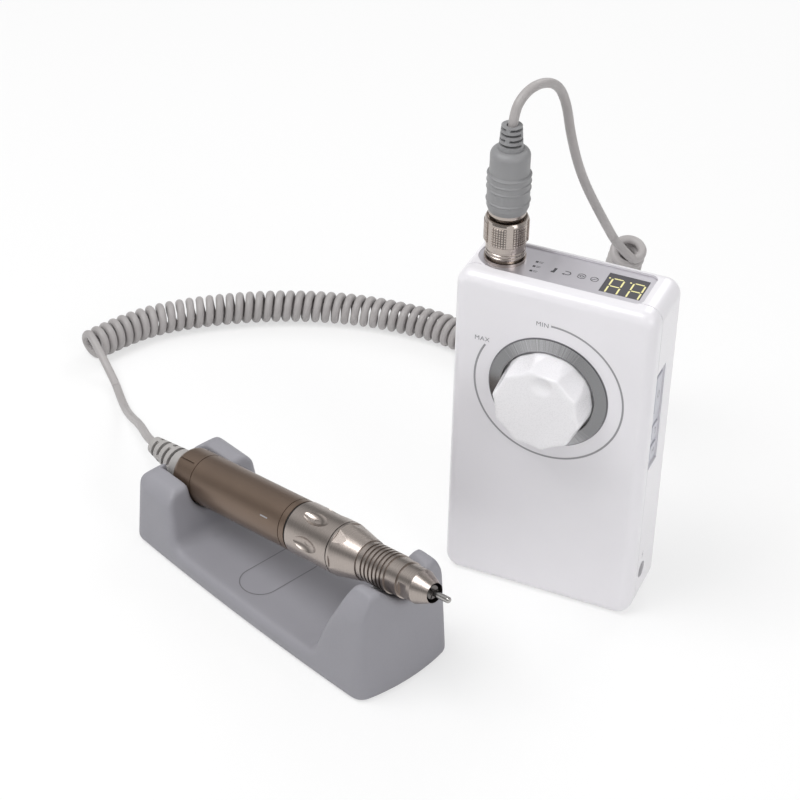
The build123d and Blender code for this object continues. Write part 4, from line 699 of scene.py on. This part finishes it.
studs, shade_ground = bmesh.new(), bmesh.new()
knurl_height = KNURL_ROWS * KNURL_PITCH
knurl_middle = KNURL_LOW + (KNURL_ROWS - 1) / 2 * KNURL_PITCH
for patch in range(PATCH_COUNT):
    for column in range(KNURL_COLUMNS):
        from_middle = (column - (KNURL_COLUMNS - 1) / 2) * KNURL_STEP
        turn = PATCH_START + PATCH_TURN * patch + from_middle
        shade_ground.faces.new(square(shade_ground, turn, knurl_middle, SHADE_GROUND_RADIUS,
                                KNURL_STEP / 2, knurl_height / 2))
        for row in range(KNURL_ROWS):
            height = KNURL_LOW + row * KNURL_PITCH
            foot = square(studs, turn, height, *STUD_FOOT)
            top = square(studs, turn, height, *STUD_TOP)
            studs.faces.new(top)
            for k in range(4):
                after = (k + 1) % 4
                studs.faces.new((foot[k], foot[after], top[after], top[k]))
bmesh.ops.remove_doubles(shade_ground, verts=shade_ground.verts, dist=1e-6)
piece("sleeve_knurl", built_mesh("sleeve_knurl", studs), "sleeve", "nickel",
      smooth=False)
# The dark ground is painted shade in the knurl's hollows
piece("knurl_shade_ground", built_mesh("knurl_shade_ground", shade_ground), "sleeve", "dark_steel",
      smooth=False)

# Index mark along the handpiece's barrel, in millimetres and degrees
INDEX_STATION = 56.0
INDEX_ANGLE = 152.5
INDEX_LENGTH = 4.0
INDEX_WIDTH = 0.5
INDEX_STRIPS = 4
INDEX_LIFT = 0.025
BARREL_RADIUS = 10.0

along = Vector(HAND_ALONG)
across = Vector(HAND_ACROSS)
over = along.cross(across)
index_build = bmesh.new()
rows = []
for k in range(INDEX_STRIPS + 1):
    from_middle = (k - INDEX_STRIPS / 2) / INDEX_STRIPS * INDEX_WIDTH / BARREL_RADIUS
    angle = math.radians(INDEX_ANGLE) + from_middle
    out = across * math.cos(angle) + over * math.sin(angle)
    rows.append([
        index_build.verts.new(Vector(HAND_REAR)
                              + along * ((INDEX_STATION + end * INDEX_LENGTH) * MM)
                              + out * ((BARREL_RADIUS + INDEX_LIFT) * MM))
        for end in (-0.5, 0.5)
    ])
for a, b in zip(rows, rows[1:]):
    index_build.faces.new((a[0], a[1], b[1], b[0]))
piece("body_index", built_mesh("body_index", index_build), "handpiece", "line")

# Floor: white to the camera and in reflections, and dimmer where the set's shadow falls
FLOOR_HALF = 4.0
FLOOR_COLOUR = (0.9, 0.9, 0.9, 1.0)
WHITE = (1.0, 1.0, 1.0, 1.0)
OWN_LIGHT_SHARE = 0.62

floor_look = bpy.data.materials.new("floor_white")
floor_look.use_nodes = True
floor_tree = floor_look.node_tree
floor_tree.nodes.clear()
shaded = floor_tree.nodes.new("ShaderNodeBsdfDiffuse")
shaded.inputs["Color"].default_value = FLOOR_COLOUR
own_light = floor_tree.nodes.new("ShaderNodeEmission")
own_light.inputs["Color"].default_value = WHITE
own_light.inputs["Strength"].default_value = 1.0
rays = floor_tree.nodes.new("ShaderNodeLightPath").outputs
seen = math_node(floor_tree, "ADD", rays["Is Camera Ray"], rays["Is Glossy Ray"], clamp=True)
seen = math_node(floor_tree, "ADD", seen, rays["Is Transmission Ray"], clamp=True)
floor_mix = floor_tree.nodes.new("ShaderNodeMixShader")
floor_output = floor_tree.nodes.new("ShaderNodeOutputMaterial")
for source, target in (
    (math_node(floor_tree, "MULTIPLY", seen, OWN_LIGHT_SHARE), floor_mix.inputs["Fac"]),
    (shaded.outputs[0], floor_mix.inputs[1]),
    (own_light.outputs[0], floor_mix.inputs[2]),
    (floor_mix.outputs[0], floor_output.inputs["Surface"]),
):
    floor_tree.links.new(source, target)

floor_build = bmesh.new()
floor_build.faces.new([
    floor_build.verts.new((x * FLOOR_HALF, y * FLOOR_HALF, 0.0)) for x, y in SQUARE
])
floor_mesh = built_mesh("floor", floor_build)
floor_mesh.materials.append(floor_look)
floor = add_object("floor", floor_mesh)

# World: bands of grey by height, for the metal to show
WORLD_STRENGTH = 0.72
WORLD_BANDS = (
    (0.0, 0.95), (0.12, 0.9), (0.24, 0.22), (0.42, 0.28), (0.56, 0.95), (0.8, 1.0), (0.92, 0.4),
)

world = bpy.data.worlds.new("studio")
scene.world = world
world.use_nodes = True
sky_tree = world.node_tree
sky_tree.nodes.clear()
sky_output = sky_tree.nodes.new("ShaderNodeOutputWorld")
sky_light = sky_tree.nodes.new("ShaderNodeBackground")
sky_light.inputs["Strength"].default_value = WORLD_STRENGTH
sky_way = sky_tree.nodes.new("ShaderNodeTexCoord").outputs["Generated"]
ramp = sky_tree.nodes.new("ShaderNodeValToRGB")
sky_tree.links.new(split(sky_tree, sky_way)["Z"], ramp.inputs["Fac"])
sky_tree.links.new(ramp.outputs["Color"], sky_light.inputs["Color"])
sky_tree.links.new(sky_light.outputs[0], sky_output.inputs["Surface"])
while len(ramp.color_ramp.elements) < len(WORLD_BANDS):
    ramp.color_ramp.elements.new(0.5)
for stop, (height, level) in zip(ramp.color_ramp.elements, WORLD_BANDS):
    stop.position = height
    stop.color = (level, level, level, 1.0)

# Lamps: square soft boxes aimed at one point, each with its place, side and watts
AIM = Vector((-0.07, 0.02, 0.05))
LAMPS = (
    ("key_lamp", (-0.45, -0.35, 1.15), 0.7, 9.0),
    ("right_lamp", (1.1, -0.6, 0.75), 0.6, 4.0),
    ("back_lamp", (0.1, 1.1, 0.9), 0.6, 3.0),
)
for name, lamp_place, size, watts in LAMPS:
    lamp_data = bpy.data.lights.new(name, "AREA")
    lamp_data.shape = "SQUARE"
    lamp_data.size = size
    lamp_data.energy = watts
    lamp = add_object(name, lamp_data)
    lamp.location = lamp_place
    lamp.rotation_mode = "QUATERNION"
    lamp.rotation_quaternion = (AIM - Vector(lamp_place)).to_track_quat("-Z", "Y")

scene.view_settings.view_transform = "Standard"
